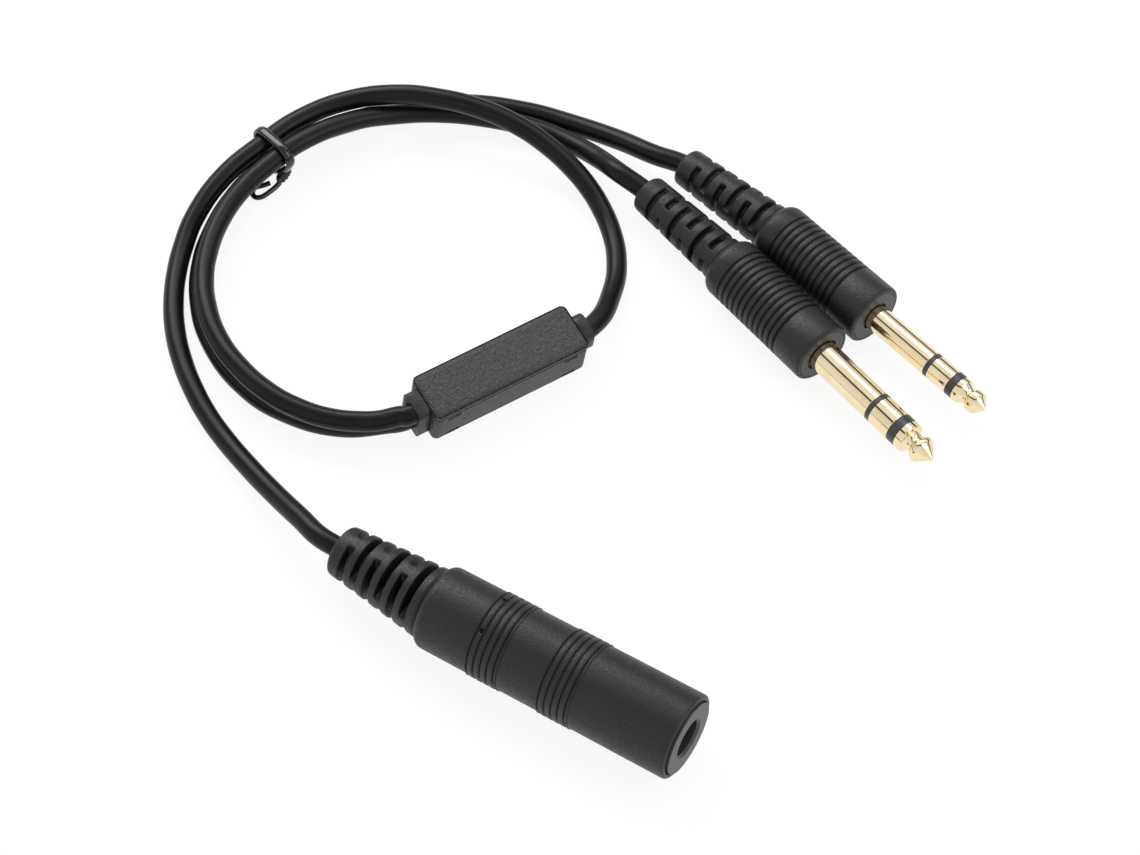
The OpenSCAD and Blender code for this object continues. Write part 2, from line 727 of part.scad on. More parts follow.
module rear_barrel() { barrel(rear_face, rear_heading, rear_dip); }
module rear_boot() {
    plug_boot(rear_face, rear_heading, rear_dip, rear_boot_turn, rear_boot_roll);
}
module rear_nose() { nose(rear_face, rear_heading, rear_dip, rear_shaft_d); }
module rear_sleeve() {
    plug_sleeve(rear_face, rear_heading, rear_dip, rear_shaft_d, rear_sleeve_l);
}
module rear_ring() {
    plug_ring(rear_face, rear_heading, rear_dip, rear_shaft_d,
        rear_sleeve_l + rear_gap_one, rear_ring_l);
}
module rear_tip() {
    tip(rear_face, rear_heading, rear_dip,
        cone_tip(rear_shaft_d, rear_neck_d, rear_ball_d, rear_tip_l), rear_tip_s);
}
module rear_ring_insulator() {
    ring_insulator(rear_face, rear_heading, rear_dip, rear_shaft_d,
        rear_sleeve_l, rear_gap_one);
}
module rear_tip_insulator() {
    tip_insulator(rear_face, rear_heading, rear_dip, rear_shaft_d,
        rear_sleeve_l + rear_gap_one + rear_ring_l, rear_gap_two);
}
module rear_terminals() { terminals(rear_face, rear_heading, rear_dip); }
module rear_clamp() { plug_clamp(rear_face, rear_heading, rear_dip); }
module rear_wires() { plug_wires(rear_face, rear_heading, rear_dip); }

// ---------- the matching box ----------

// A flat rectangle with round corners
module rounded_rect(l, w, r) {
    square([l, w - 2 * r], center = true);
    square([l - 2 * r, w], center = true);
    for (x = [-1, 1], y = [-1, 1])
        translate([x * (l / 2 - r), y * (w / 2 - r)]) circle(r = r, $fn = 32);
}

// A rounded block from z = 0 to its height, bevelled round its top
module bevelled_block(l, w, h, r, bevel) {
    hull() {
        linear_extrude(h - bevel) rounded_rect(l, w, r);
        linear_extrude(h) rounded_rect(l - 2 * bevel, w - 2 * bevel, r);
    }
}

rim_z = box_h - cover_t;
inner_l = box_l - 2 * box_wall;
inner_w = box_w - 2 * box_wall;
latch_x = box_l / 2 - window_inset - window_l / 2;
window_z = rim_z - 1.1;
latch_t = 0.7;
// Height of the middle of the openings in the end walls, and of the collars outside them
neck_z = (box_wall + rim_z) / 2;
collar_z = box_h / 2;
neck_w = collar_w - 2 * collar_neck_gap;
neck_h = rim_z - box_wall - 2 * 0.3;

pry_depth = 0.4;
module latch_windows(depth) {
    for (x = [-1, 1], y = [-1, 1])
        translate([x * latch_x - window_l / 2, y * (box_w / 2) - depth, window_z])
            cube([window_l, 2 * depth, window_h]);
}

module box_base() {
    color(black) on_box() difference() {
        union() {
            difference() {
                translate([0, 0, rim_z]) mirror([0, 0, 1])
                    bevelled_block(box_l, box_w, rim_z, box_corner_r, box_bevel);
                translate([0, 0, box_wall])
                    linear_extrude(box_h) rounded_rect(inner_l, inner_w, 0.3);
            }
            for (x = [-1, 1], y = [-1, 1])
                translate([x * board_post_x, y * (inner_w / 2 - 0.8), box_wall - eps])
                    cylinder(d = 1.4, h = board_post_h + eps);
        }
        latch_windows(box_wall + eps);
        // Shallow pry slots low in the long walls
        for (x = [-1, 1], y = [-1, 1])
            translate([x * latch_x - window_l / 2, y * box_w / 2 - pry_depth, box_bevel + 0.3])
                cube([window_l, 2 * pry_depth, window_h]);
        // Openings in the end walls, in which the collars' necks sit
        translate([-box_l / 2 - 1, -neck_w / 2 - fit, neck_z - neck_h / 2 - fit])
            cube([box_l + 2, neck_w + 2 * fit, neck_h + 2 * fit]);
    }
}

module box_cover() {
    color(black) on_box() {
        translate([0, 0, rim_z + fit])
            bevelled_block(box_l, box_w, cover_t - fit, box_corner_r, box_bevel);
        for (x = [-1, 1], y = [-1, 1]) {
            // Tongue along the inside of the wall
            translate([x * latch_x - window_l / 2, y * (inner_w / 2 - latch_t / 2 - fit) - latch_t / 2,
                window_z - 0.3])
                cube([window_l, latch_t, rim_z - window_z + 0.3 + 2 * fit]);
            // Hook that snaps into the window
            translate([x * latch_x - window_l / 2 + 0.2, y * (inner_w / 2 + 0.1) - 0.4,
                window_z + 0.1])
                cube([window_l - 0.4, 0.8, window_h - 0.2]);
        }
    }
}

module main_collar() {
    color(black) on_box() collar(main_collar_h, main_collar_r)
        translate([0, 0, collar_z]) rotate([0, 90, 0])
            cylinder(d = main_cord_d + 2 * loose, h = 20, center = true);
}

module twin_collar() {
    color(black) on_box() mirror([1, 0, 0]) collar(twin_collar_h, twin_collar_r) {
        for (k = [-1, 1]) translate([jacket_stop - fit, -k * twin_lean, collar_z + k * twin_rise])
            rotate([0, 90, 0]) cylinder(d = twin_cord_d + 2 * fit, h = 20);
        // Way for the cores, from the jackets' ends into the box
        translate([0, 0, neck_z]) rotate([0, 90, 0]) cylinder(d = 3, h = 20, center = true);
    }
}

// A collar outside the end wall, its neck through the wall and its flange inside the box
module collar(h, corner_r) {
    flange_x = -box_wall - fit - 0.8;
    translate([box_l / 2, 0, 0]) difference() {
        union() {
            translate([fit, 0, collar_z]) rotate([90, 0, 90])
                linear_extrude(collar_l - fit) rounded_rect(collar_w, h, corner_r);
            translate([flange_x, -neck_w / 2, neck_z - neck_h / 2])
                cube([fit + eps - flange_x, neck_w, neck_h]);
            translate([flange_x, -neck_w / 2 - 0.4, neck_z - neck_h / 2])
                cube([0.8, neck_w + 0.8, neck_h]);
        }
        children();
    }
}

board_l = inner_l - 5;
board_w = inner_w - 0.3;
board_z = box_wall + board_post_h + fit;
board_post_x = board_l / 2 - 1;
board_top = board_z + board_t;

module circuit_board() {
    color("#2e6b45") on_box() translate([-board_l / 2, -board_w / 2, board_z])
        cube([board_l, board_w, board_t]);
}

// The transformer stands on its winding, which is wider than the core's middle leg
core_size = [6.4, 5.2, 3.2];
core_limb = 0.9;
core_leg = 1.6;
coil_t = 0.5;
core_at = [4.2, 0, board_top + fit + coil_t + fit + core_size.z / 2];
coil_length = core_size.y - 2 * core_limb - 0.3;

// A stack of plates with two windows, which leave a middle leg for the winding
module transformer_core() {
    window_w = (core_size.x - core_leg) / 2 - core_limb;
    color(grey) on_box() translate(core_at) difference() {
        cube(core_size, center = true);
        for (x = [-1, 1]) translate([x * (core_leg + window_w) / 2, 0, 0])
            cube([window_w, core_size.y - 2 * core_limb, core_size.z + 2], center = true);
    }
}

// The winding on the core's middle leg
module transformer_coil() {
    color(copper) on_box() translate(core_at) difference() {
        cube([core_leg + 2 * (fit + coil_t), coil_length, core_size.z + 2 * (fit + coil_t)],
            center = true);
        cube([core_leg + 2 * fit, coil_length + 1, core_size.z + 2 * fit], center = true);
    }
}

module capacitor() {
    color("#33415c") on_box() translate([-6.4, 0, board_top + fit + 1.6]) rotate([0, 90, 0])
        cylinder(d = 3.2, h = 5.4);
}

module resistors() {
    color("#c9b184") on_box() for (x = [-9.2, 9.6])
        translate([x, -1.9, board_top + fit + 0.8]) rotate([-90, 0, 0])
            cylinder(d = 1.6, h = 3.8);
}

// Cores from the cords' ends down to the circuit board
module box_wires() {
    pad_z = board_top + wire_d / 2 + fit;
    pad_x = board_l / 2 - 1;
    color(copper) on_box() for (k = [-1, 1]) {
        wire([box_reach - wire_d / 2, k * 0.8, collar_z], [pad_x, k * 1.6, pad_z]);
        wire([-box_l / 2 - jacket_stop + wire_d / 2 + fit, -k * twin_lean, neck_z + k * 0.6],
            [-pad_x, -k * 0.6, pad_z + (k + 1) / 2]);
    }
}

// ---------- cords and tie ----------

// Routes of the free cords over the table, from the socket or the box outwards
main_route = [
    [-42.6, 1.5, 8.3], [-48.3, 3.6, 7.1], [-56.5, 6.8, 4.9], [-65.1, 10.3, 3.1],
    [-72.7, 13.5, 2.3], [-78.7, 16.4, 2.1], [-84.9, 20.2, 2.1], [-90.9, 24.8, 2.1],
    [-96.2, 30, 2.2], [-100.6, 35.7, 2.2], [-104.1, 41.7, 2.3], [-106.5, 47.3, 2.7],
    [-108.3, 54.1, 3.9], [-108.2, 64.1, 6.1], [-105.8, 74, 7.3], [-102.8, 83.7, 7.7],
    [-96.7, 92.8, 8.2], [-88.4, 98.1, 9.7], [-80.6, 101.2, 10.1], [-72.8, 103.7, 9.4],
    [-64.1, 104.8, 8.2], [-57.3, 104.6, 6.7], [-51.5, 103.6, 5.2], [-45.9, 101.7, 3.8],
    [-41.3, 99.2, 2.7], [-36.7, 95.5, 2.1], [-32.4, 90.4, 2.2], [-28.5, 82.5, 3.1]
];
front_route = [
    [-45.7, 32.6, 7.2], [-48.3, 30, 7], [-51.5, 28, 6.8], [-56.8, 25.8, 6.5],
    [-62.9, 24.6, 6.5], [-70.1, 24.7, 6.5], [-79.1, 27, 6.5], [-86.4, 30.7, 6.4],
    [-91.5, 34.8, 6.4], [-96.3, 40.4, 6.3], [-99.8, 46.9, 6.5], [-102, 54.1, 6.8],
    [-102.6, 62.1, 7.3], [-101.1, 72, 7.8], [-99.5, 78.3, 7.8], [-94.3, 88.7, 7],
    [-88, 96.9, 5], [-81.7, 102, 4.2], [-74.6, 106, 3.5], [-63.2, 109.6, 3.1],
    [-54.1, 109.6, 3.8], [-47.3, 108, 5.4], [-40.8, 105.5, 7.4]
];
rear_route = [
    [-48.3, 32.7, 3], [-55.8, 27.6, 2.4], [-67, 25, 2.2], [-76.4, 25.8, 2.2],
    [-88.3, 31.1, 2.3], [-96.6, 38.8, 2.2], [-101.4, 46.5, 2.1], [-103.7, 52.7, 2.1],
    [-105.1, 62.2, 2.8], [-104, 74.1, 3.5], [-101.5, 83, 3.1], [-96.1, 92.5, 2.3],
    [-89.7, 100.1, 2.1], [-80, 107.9, 2.1], [-68.1, 113, 2.1], [-57.4, 114.9, 2.6],
    [-46.3, 115.1, 4.3], [-38.2, 114.4, 5.8]
];

function unit(v) = v / norm(v);
function heading_at(p, i) = unit(p[min(i + 1, len(p) - 1)] - p[max(i - 1, 0)]);
// A sideways direction square to a run, level with the table
function level_side(run) = unit(cross(run, [0, 0, 1]));

// A tube of one diameter swept along points
module tube(points, d, sides) {
    rings = [
        for (i = [0:len(points) - 1])
            let (run = heading_at(points, i))
            let (side = level_side(run))
            let (up = cross(side, run))
            for (k = [0:sides - 1])
                points[i] + d / 2 * (side * cos(360 * k / sides) + up * sin(360 * k / sides))
    ];
    n = len(points);
    walls = [
        for (i = [0:n - 2], k = [0:sides - 1])
            let (a = i * sides + k)
            let (b = i * sides + (k + 1) % sides)
            each [[a, b, a + sides], [b, b + sides, a + sides]]
    ];
    caps = [
        [for (k = [0:sides - 1]) sides - 1 - k],
        [for (k = [0:sides - 1]) (n - 1) * sides + k]
    ];
    polyhedron(rings, concat(walls, caps), convexity = 10);
}

// The cords' ends run straight through boots and collars
function socket_boot_point(s) = [
    socket_front_x - socket_grip_l - s * cos(socket_boot_turn),
    -s * sin(socket_boot_turn),
    socket_axis_z
];
socket_end = [
    [socket_front_x - cord_end_s, 0, socket_axis_z],
    socket_boot_point(1),
    socket_boot_point(socket_boot_l)
];
box_reach = box_l / 2 - box_wall - 1.2;
function box_end(side, stop, y, z) = [
    box_point([side * (box_l / 2 + collar_l + 1), y, z]),
    box_point([side * stop, y, z])
];
twin_stop = box_l / 2 + jacket_stop;
function plug_end(face, heading, dip, turn) = [
    boot_point(face, heading, dip, turn, plug_boot_l),
    boot_point(face, heading, dip, turn, 1),
    plug_point(face, heading, dip, [0, 0, -plug_cord_end])
];
function reversed(p) = [for (i = [len(p) - 1:-1:0]) p[i]];

module main_cord() {
    color(black) tube(
        concat(socket_end, main_route, box_end(1, box_reach, 0, collar_z)), main_cord_d, 12);
}
module front_plug_cord() {
    color(black) tube(
        concat(reversed(box_end(-1, twin_stop, -twin_lean, collar_z + twin_rise)), front_route,
            plug_end(front_face, front_heading, front_dip, front_boot_turn)),
        twin_cord_d, 8);
}
module rear_plug_cord() {
    color(black) tube(
        concat(reversed(box_end(-1, twin_stop, twin_lean, collar_z - twin_rise)), rear_route,
            plug_end(rear_face, rear_heading, rear_dip, rear_boot_turn)),
        twin_cord_d, 8);
}

// The tie's ends: the twisted knot under the bundle's inner side, and the bent-back tail
tie_knot = [[-99.8, 73.9, 3.6], [-100.1, 73.3, 2.4], [-100.7, 72.3, 1.5]];
tie_tail = [
    [-100.6, 72.5, 1.5], [-100.4, 71.5, 1.1], [-100.8, 69.6, 0.8], [-101.6, 67.4, 0.6],
    [-102.7, 66.6, 0.6], [-103.8, 67.2, 0.6], [-104.1, 68.6, 0.6], [-103, 69.9, 0.7],
    [-102, 70.9, 1.1]
];

// The tie's loop lies in a plane square to the cords: a band round the three of them
tie_gap = 0.3;
bundle = [[-1.7, 7.4], [0, 3.5], [3.3, 7.8]];
tie_ends = [[4.6, 4], [4, 3.2]];
// Where the band leaves a cord and meets the next one, as angles round the cords
tie_over = 90;
tie_down = 210;
tie_under = 318;
function in_tie_plane(q) = [
    tie_at.x + q.x * sin(tie_heading),
    tie_at.y - q.x * cos(tie_heading),
    q.y
];

module twist_tie() {
    r = main_cord_d / 2 + tie_gap + tie_t / 2;
    // From the knot up the bundle's inner side, over the top, down and back under to the knot
    loop = [
        for (q = concat(
            [tie_ends[0]],
            arc(bundle[2], r, -30, tie_over, 4),
            arc(bundle[0], r, tie_over, tie_down, 4),
            arc(bundle[1], r, tie_down, tie_under, 4),
            [tie_ends[1]]
        )) in_tie_plane(q)
    ];
    color(black) {
        strip(loop, tie_w, tie_t);
        tube(tie_knot, 1.8, 8);
        tube(tie_tail, 1, 6);
    }
}

// A flat strip swept along points, its width along the cords
module strip(points, w, t) {
    across = [cos(tie_heading), sin(tie_heading), 0];
    n = len(points);
    rings = [
        for (i = [0:n - 1])
            let (run = heading_at(points, i))
            let (out = cross(across, run))
            for (c = [[-1, -0.5], [-0.5, -1], [0.5, -1], [1, -0.5],
                      [1, 0.5], [0.5, 1], [-0.5, 1], [-1, 0.5]])
                points[i] + across * c.x * w / 2 + out * c.y * t / 2
    ];
    walls = [
        for (i = [0:n - 2], k = [0:7])
            let (a = i * 8 + k)
            let (b = i * 8 + (k + 1) % 8)
            each [[a, b, a + 8], [b, b + 8, a + 8]]
    ];
    polyhedron(rings, concat(walls, [[7, 6, 5, 4, 3, 2, 1, 0],
        [for (k = [0:7]) (n - 1) * 8 + k]]), convexity = 10);
}

socket_shell();
socket_boot();
socket_insert();
sleeve_contact();
second_ring_contact();
first_ring_contact();
tip_contact();
solder_lugs();
socket_clamp();
socket_wires();
box_cover();
box_base();
main_collar();
twin_collar();
circuit_board();
transformer_core();
transformer_coil();
capacitor();
resistors();
box_wires();
main_cord();
front_plug_cord();
rear_plug_cord();
twist_tie();
front_barrel();
front_boot();
front_nose();
front_sleeve();
front_ring();
front_tip();
front_ring_insulator();
front_tip_insulator();
front_terminals();
front_clamp();
front_wires();
rear_barrel();
rear_boot();
rear_nose();
rear_sleeve();
rear_ring();
rear_tip();
rear_ring_insulator();
rear_tip_insulator();
rear_terminals();
rear_clamp();
rear_wires();
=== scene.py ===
"""Adapter cable for a headset: a line socket and a matching box, on cords that end in two plugs."""

import math

import bpy
from mathutils import Matrix, Vector


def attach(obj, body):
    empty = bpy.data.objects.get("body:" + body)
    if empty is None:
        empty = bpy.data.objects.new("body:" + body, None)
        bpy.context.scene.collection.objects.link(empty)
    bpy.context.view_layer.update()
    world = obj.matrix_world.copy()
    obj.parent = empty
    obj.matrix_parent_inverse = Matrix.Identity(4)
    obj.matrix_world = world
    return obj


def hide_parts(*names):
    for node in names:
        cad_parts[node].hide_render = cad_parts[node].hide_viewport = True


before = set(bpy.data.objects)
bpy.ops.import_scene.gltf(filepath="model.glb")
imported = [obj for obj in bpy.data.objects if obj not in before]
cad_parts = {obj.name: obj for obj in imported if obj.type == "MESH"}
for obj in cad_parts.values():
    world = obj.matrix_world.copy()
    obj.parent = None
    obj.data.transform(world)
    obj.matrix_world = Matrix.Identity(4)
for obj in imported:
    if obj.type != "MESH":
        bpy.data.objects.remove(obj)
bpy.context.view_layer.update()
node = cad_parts


# ---------- View ----------
# The camera stands 0.7 m off and looks down on the cable at 54.5 degrees, through a long lens
# that keeps the plugs and the socket in proportion.

bpy.ops.object.select_all(action="DESELECT")
eye = Vector((0.1912, -0.2887, 0.5615))
aim = Vector((-0.0194, 0.0519, 0.0))
bpy.ops.object.camera_add(location=eye, rotation=(aim - eye).to_track_quat("-Z", "Y").to_euler())
camera = bpy.context.object
camera.data.lens = 113.68
camera.data.sensor_width = 36
bpy.context.scene.camera = camera


# ---------- Cords ----------
# Three round cords: stranded cores in an extruded vinyl jacket, black and satin. The socket's
# cord runs to one end of the box, and the two plugs' cords leave its other end one above the
# other. They lie on the table in one loose loop and pass over each other in low humps.

cord_diameter = 4.1
grip_length = 53.1
barrel_length, barrel_radius = 28.7, 6.35
socket_boot_length, plug_boot_length = 21, 23.3


def shift(x, y, z):
    """A move by so many millimetres."""
    return Matrix.Translation((x / 1000, y / 1000, z / 1000))


def turn_by(degrees, axis):
    """A turn about one of a piece's own axes."""
    return Matrix.Rotation(math.radians(degrees), 4, axis)


# Where the pieces lie on the table: the socket by the front of its grip, the box by the middle
# of its underside, tipped a little by its cords, and each plug by the face of its barrel. A
# round piece is made along its own Z, so each is laid down by a quarter turn about Y.
socket_place = shift(36.6, 0, 8.51) @ turn_by(90, "Y")
socket_boot_place = socket_place @ shift(0, 0, -grip_length) @ turn_by(3, "X")
box_place = shift(-36.6, 52.8, 0.93) @ turn_by(63.3, "Z") @ turn_by(12, "X")
front_place = shift(15.1, 88.2, barrel_radius) @ turn_by(-19.6, "Z") @ turn_by(90, "Y")
rear_place = shift(19.2, 101.7, barrel_radius) @ turn_by(-16.8, "Z") @ turn_by(90, "Y")
front_boot_place = front_place @ shift(0, 0, -barrel_length) @ turn_by(-2, "X")
rear_boot_place = rear_place @ shift(0, 0, -barrel_length) @ turn_by(-4.8, "X")

# Where the cords leave the box, in its own frame: the collars' outer faces, and each hole's middle
collar_face = 19.6
main_exit_z = 4.85
front_exit_y, front_exit_z = -0.5, 6.93
rear_exit_y, rear_exit_z = 0.5, 2.77


def along(place, *points):
    """Points given in millimetres in a piece's own frame, in the cable's frame."""
    return [place @ (Vector(p) / 1000) for p in points]


def route(*points):
    """Points given in millimetres in the cable's frame."""
    return [Vector(p) / 1000 for p in points]


main_line = along(socket_boot_place, (0, 0, -14.7), (0, 0, -socket_boot_length)) + route(
    (-42.6, 1.5, 8.3), (-48.3, 3.6, 7.1), (-56.5, 6.8, 4.9), (-65.1, 10.3, 3.1),
    (-72.7, 13.5, 2.3), (-78.7, 16.4, 2.1), (-84.9, 20.2, 2.1), (-90.9, 24.8, 2.1),
    (-96.2, 30, 2.2), (-100.6, 35.7, 2.2), (-104.1, 41.7, 2.3), (-106.5, 47.3, 2.7),
    (-108.3, 54.1, 3.9), (-108.2, 64.1, 6.1), (-105.8, 74, 7.3), (-102.8, 83.7, 7.7),
    (-96.7, 92.8, 8.2), (-88.4, 98.1, 9.7), (-80.6, 101.2, 10.1), (-72.8, 103.7, 9.4),
    (-64.1, 104.8, 8.2), (-57.3, 104.6, 6.7), (-51.5, 103.6, 5.2), (-45.9, 101.7, 3.8),
    (-41.3, 99.2, 2.7), (-36.7, 95.5, 2.1), (-32.4, 90.4, 2.2), (-28.5, 82.5, 3.1),
) + along(box_place, (collar_face + 1, 0, main_exit_z), (16.2, 0, main_exit_z))

front_line = along(box_place, (-17.3, front_exit_y, front_exit_z),
                   (-collar_face - 1, front_exit_y, front_exit_z)) + route(
    (-45.7, 32.6, 7.2), (-48.3, 30, 7), (-51.5, 28, 6.8), (-56.8, 25.8, 6.5),
    (-62.9, 24.6, 6.5), (-70.1, 24.7, 6.5), (-79.1, 27, 6.5), (-86.4, 30.7, 6.4),
    (-91.5, 34.8, 6.4), (-96.3, 40.4, 6.3), (-99.8, 46.9, 6.5), (-102, 54.1, 6.8),
    (-102.6, 62.1, 7.3), (-101.1, 72, 7.8), (-99.5, 78.3, 7.8), (-94.3, 88.7, 7),
    (-88, 96.9, 5), (-81.7, 102, 4.2), (-74.6, 106, 3.5), (-63.2, 109.6, 3.1),
    (-54.1, 109.6, 3.8), (-47.3, 108, 5.4), (-40.8, 105.5, 7.4),
) + along(front_boot_place, (0, 0, -plug_boot_length), (0, 0, -17.3))

rear_line = along(box_place, (-17.3, rear_exit_y, rear_exit_z),
                  (-collar_face - 1, rear_exit_y, rear_exit_z)) + route(
    (-48.3, 32.7, 3), (-55.8, 27.6, 2.4), (-67, 25, 2.2), (-76.4, 25.8, 2.2),
    (-88.3, 31.1, 2.3), (-96.6, 38.8, 2.2), (-101.4, 46.5, 2.1), (-103.7, 52.7, 2.1),
    (-105.1, 62.2, 2.8), (-104, 74.1, 3.5), (-101.5, 83, 3.1), (-96.1, 92.5, 2.3),
    (-89.7, 100.1, 2.1), (-80, 107.9, 2.1), (-68.1, 113, 2.1), (-57.4, 114.9, 2.6),
    (-46.3, 115.1, 4.3), (-38.2, 114.4, 5.8),
) + along(rear_boot_place, (0, 0, -plug_boot_length), (0, 0, -17.3))


def cord_along(name, line):
    """A round cord whose middle passes smoothly through a line's points."""
    curve = bpy.data.curves.new(name, "CURVE")
    curve.dimensions = "3D"
    curve.resolution_u = 10
    curve.bevel_depth = cord_diameter / 2000
    curve.bevel_resolution = 6
    curve.use_fill_caps = True
    spline = curve.splines.new("BEZIER")
    spline.bezier_points.add(len(line) - 1)
    for point, place in zip(spline.bezier_points, line):
        point.co = place
        point.handle_left_type = point.handle_right_type = "AUTO"
    piece = bpy.data.objects.new(name, curve)
    bpy.context.scene.collection.objects.link(piece)
    return piece


def srgb(code):
    """An sRGB hex colour, turned to linear."""
    parts = [int(code[i:i + 2], 16) / 255 for i in (1, 3, 5)]
    return [c / 12.92 if c <= 0.04045 else ((c + 0.055) / 1.055) ** 2.4 for c in parts] + [1]


def add(tree, kind, sockets=None, stops=(), **settings):
    """Adds a shader node, with its settings, its ramp's stops, and its sockets' values or links."""
    made = tree.nodes.new("ShaderNode" + kind)
    for name, value in settings.items():
        setattr(made, name, value)
    if stops:
        ramp = made.color_ramp.elements
        for element, (stop, colour) in zip(ramp, (stops[0], stops[-1])):
            element.position, element.color = stop, srgb(colour)
        for stop, colour in stops[1:-1]:
            ramp.new(stop).color = srgb(colour)
    for name, value in (sockets or {}).items():
        if isinstance(value, bpy.types.NodeSocket):
            tree.links.new(value, made.inputs[name])
        else:
            made.inputs[name].default_value = value
    return made


def finish(name, values):
    """A new material: its node tree, its shader with these values set, and object coordinates."""
    made = bpy.data.materials.new(name)
    made.use_nodes = True
    tree = made.node_tree
    shader = tree.nodes["Principled BSDF"]
    for socket, value in values.items():
        shader.inputs[socket].default_value = value
    return made, tree, shader, add(tree, "TexCoord").outputs["Object"]


def per_metre(size):
    """The scale of a pattern whose marks are this many millimetres across."""
    return 1000 / size


# Extruded vinyl: satin from the die and nearly black, with a faint unevenness in its skin and
# its gloss. A few pale dust specks sit on it.
jacket_vinyl, tree, shader, spot = finish("extruded_vinyl_jacket", {
    "IOR": 1.5, "Specular IOR Level": 0.2})
cloud = add(tree, "TexNoise", {"Vector": spot, "Scale": per_metre(6), "Detail": 3})
tone = add(tree, "ValToRGB", {"Fac": cloud.outputs[0]},
           [(0.3, "#0d0d0e"), (0.75, "#141415")])
dust = add(tree, "TexVoronoi", {"Vector": spot, "Scale": per_metre(2.6)})
speck = add(tree, "MapRange", {"Value": dust.outputs["Distance"], "From Min": 0.035,
                               "From Max": 0.05, "To Min": 0.35, "To Max": 0})
dusty = add(tree, "Mix", {0: speck.outputs[0], 6: tone.outputs[0], 7: srgb("#8c8a88")},
            data_type="RGBA")
tree.links.new(dusty.outputs[2], shader.inputs["Base Color"])
gloss = add(tree, "MapRange", {"Value": cloud.outputs[0], "To Min": 0.28, "To Max": 0.38})
tree.links.new(gloss.outputs[0], shader.inputs["Roughness"])
skin = add(tree, "TexNoise", {"Vector": spot, "Scale": per_metre(0.35), "Detail": 2})
relief = add(tree, "Bump", {"Height": skin.outputs[0], "Strength": 1.0, "Distance": 0.000004})
tree.links.new(relief.outputs[0], shader.inputs["Normal"])

main_cord = cord_along("main_cord_jacket", main_line)
front_cord = cord_along("front_plug_cord_jacket", front_line)
rear_cord = cord_along("rear_plug_cord_jacket", rear_line)
for cord, solid in ((main_cord, "main_cord"), (front_cord, "front_plug_cord"),
                    (rear_cord, "rear_plug_cord")):
    cord.data.materials.append(jacket_vinyl)
    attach(cord, "lead")
    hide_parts(solid)


# ---------- Socket grip ----------
# The line socket's grip, moulded in soft black vinyl with a fine matt grain. It is a long round
# body with two raised bands of five grooves, and a rounded shoulder where the boot leaves it.

def turned(name, outline, place, sides=128):
    """A round piece: a ring drawn out and resized from step to step of (distance, radius)."""
    bpy.ops.object.select_all(action="DESELECT")
    hollow = outline[0] == outline[-1]
    bpy.ops.mesh.primitive_circle_add(
        vertices=sides, radius=outline[0][1] / 1000, location=(0, 0, outline[0][0] / 1000),
        fill_type="NOTHING" if hollow else "NGON")
    piece = bpy.context.object
    piece.name = name
    bpy.ops.object.mode_set(mode="EDIT")
    for (start, radius), (end, wider) in zip(outline, outline[1:]):
        bpy.ops.mesh.extrude_region_move(
            TRANSFORM_OT_translate={"value": (0, 0, (end - start) / 1000)})
        if wider != radius:
            factor = wider / radius
            bpy.ops.transform.resize(value=(factor, factor, 1), center_override=(0, 0, 0))
    bpy.ops.mesh.select_all(action="SELECT")
    bpy.ops.mesh.remove_doubles(threshold=0.000001)
    bpy.ops.mesh.normals_make_consistent(inside=False)
    bpy.ops.object.mode_set(mode="OBJECT")
    piece.matrix_world = place @ piece.matrix_world
    bpy.ops.object.transform_apply(location=True, rotation=True, scale=True)
    bpy.ops.object.shade_smooth_by_angle(angle=math.radians(40))
    return piece


def bow(distance, radius, size, start, end, steps=5):
    """A rounding of an outline: an arc from one angle to another, 0 being straight outwards."""
    angles = [math.radians(start + (end - start) * i / steps) for i in range(steps + 1)]
    return [(distance + size * math.sin(a), radius + size * math.cos(a)) for a in angles]


def groove(start, width, depth, radius, edge):
    """A groove in an outline, with rounded lips and a rounded bottom."""
    lip = edge * 0.3
    end = start + width
    return [(start - edge, radius), (start - lip, radius - lip), (start, radius - edge),
            (start + 0.04, radius - depth + 0.06), (start + 0.1, radius - depth),
            (end - 0.1, radius - depth), (end - 0.04, radius - depth + 0.06),
            (end, radius - edge), (end + lip, radius - lip), (end + edge, radius)]


def grip_radius(distance):
    """The grip's radius, which tapers a little from the mouth to the boot."""
    return 8.4 + 0.2 * distance / grip_length


def grip_band(start):
    """A raised band of five grooves."""
    length, rise, pitch, width = 6.6, 0.2, 1.4, 0.5
    end = start + length
    radius = grip_radius(start + length / 2) + rise
    first = start + (length - 4 * pitch - width) / 2
    steps = [(start, grip_radius(start)), (start + 0.02, radius - 0.05), (start + 0.08, radius)]
    for i in range(5):
        steps += groove(first + i * pitch, width, 0.35, radius, 0.12)
    return steps + [(end - 0.08, radius), (end - 0.02, radius - 0.05), (end, grip_radius(end))]


# The outside from the boot to the mouth, and back along the inside: the step for the insert's
# flange, the insert's seat, the chamber for the cord's clamp, and the cord's way out
shoulder, mouth, mouth_round = 1.8, 0.45, 0.6
step_radius, step_depth = 7.4, 0.92
insert_radius, insert_back = 6.72, 42.12
chamber_radius, rear_wall, cord_way = 5.8, 3, 4.22
grip_outline = (
    [(-grip_length, cord_way)] + bow(shoulder - grip_length, 6.4, shoulder, -90, 0, 8)
    + grip_band(-41.2) + grip_band(-26.1)
    + bow(mouth - mouth_round, 7.8, mouth_round, 0, 90, 6)
    + [(mouth, step_radius + 0.06), (mouth - 0.06, step_radius), (-step_depth, step_radius),
       (-step_depth, insert_radius), (-insert_back, insert_radius),
       (-insert_back, chamber_radius), (rear_wall - grip_length, chamber_radius),
       (rear_wall - grip_length, cord_way), (-grip_length, cord_way)])
grip = turned("socket_grip", grip_outline, socket_place, 160)


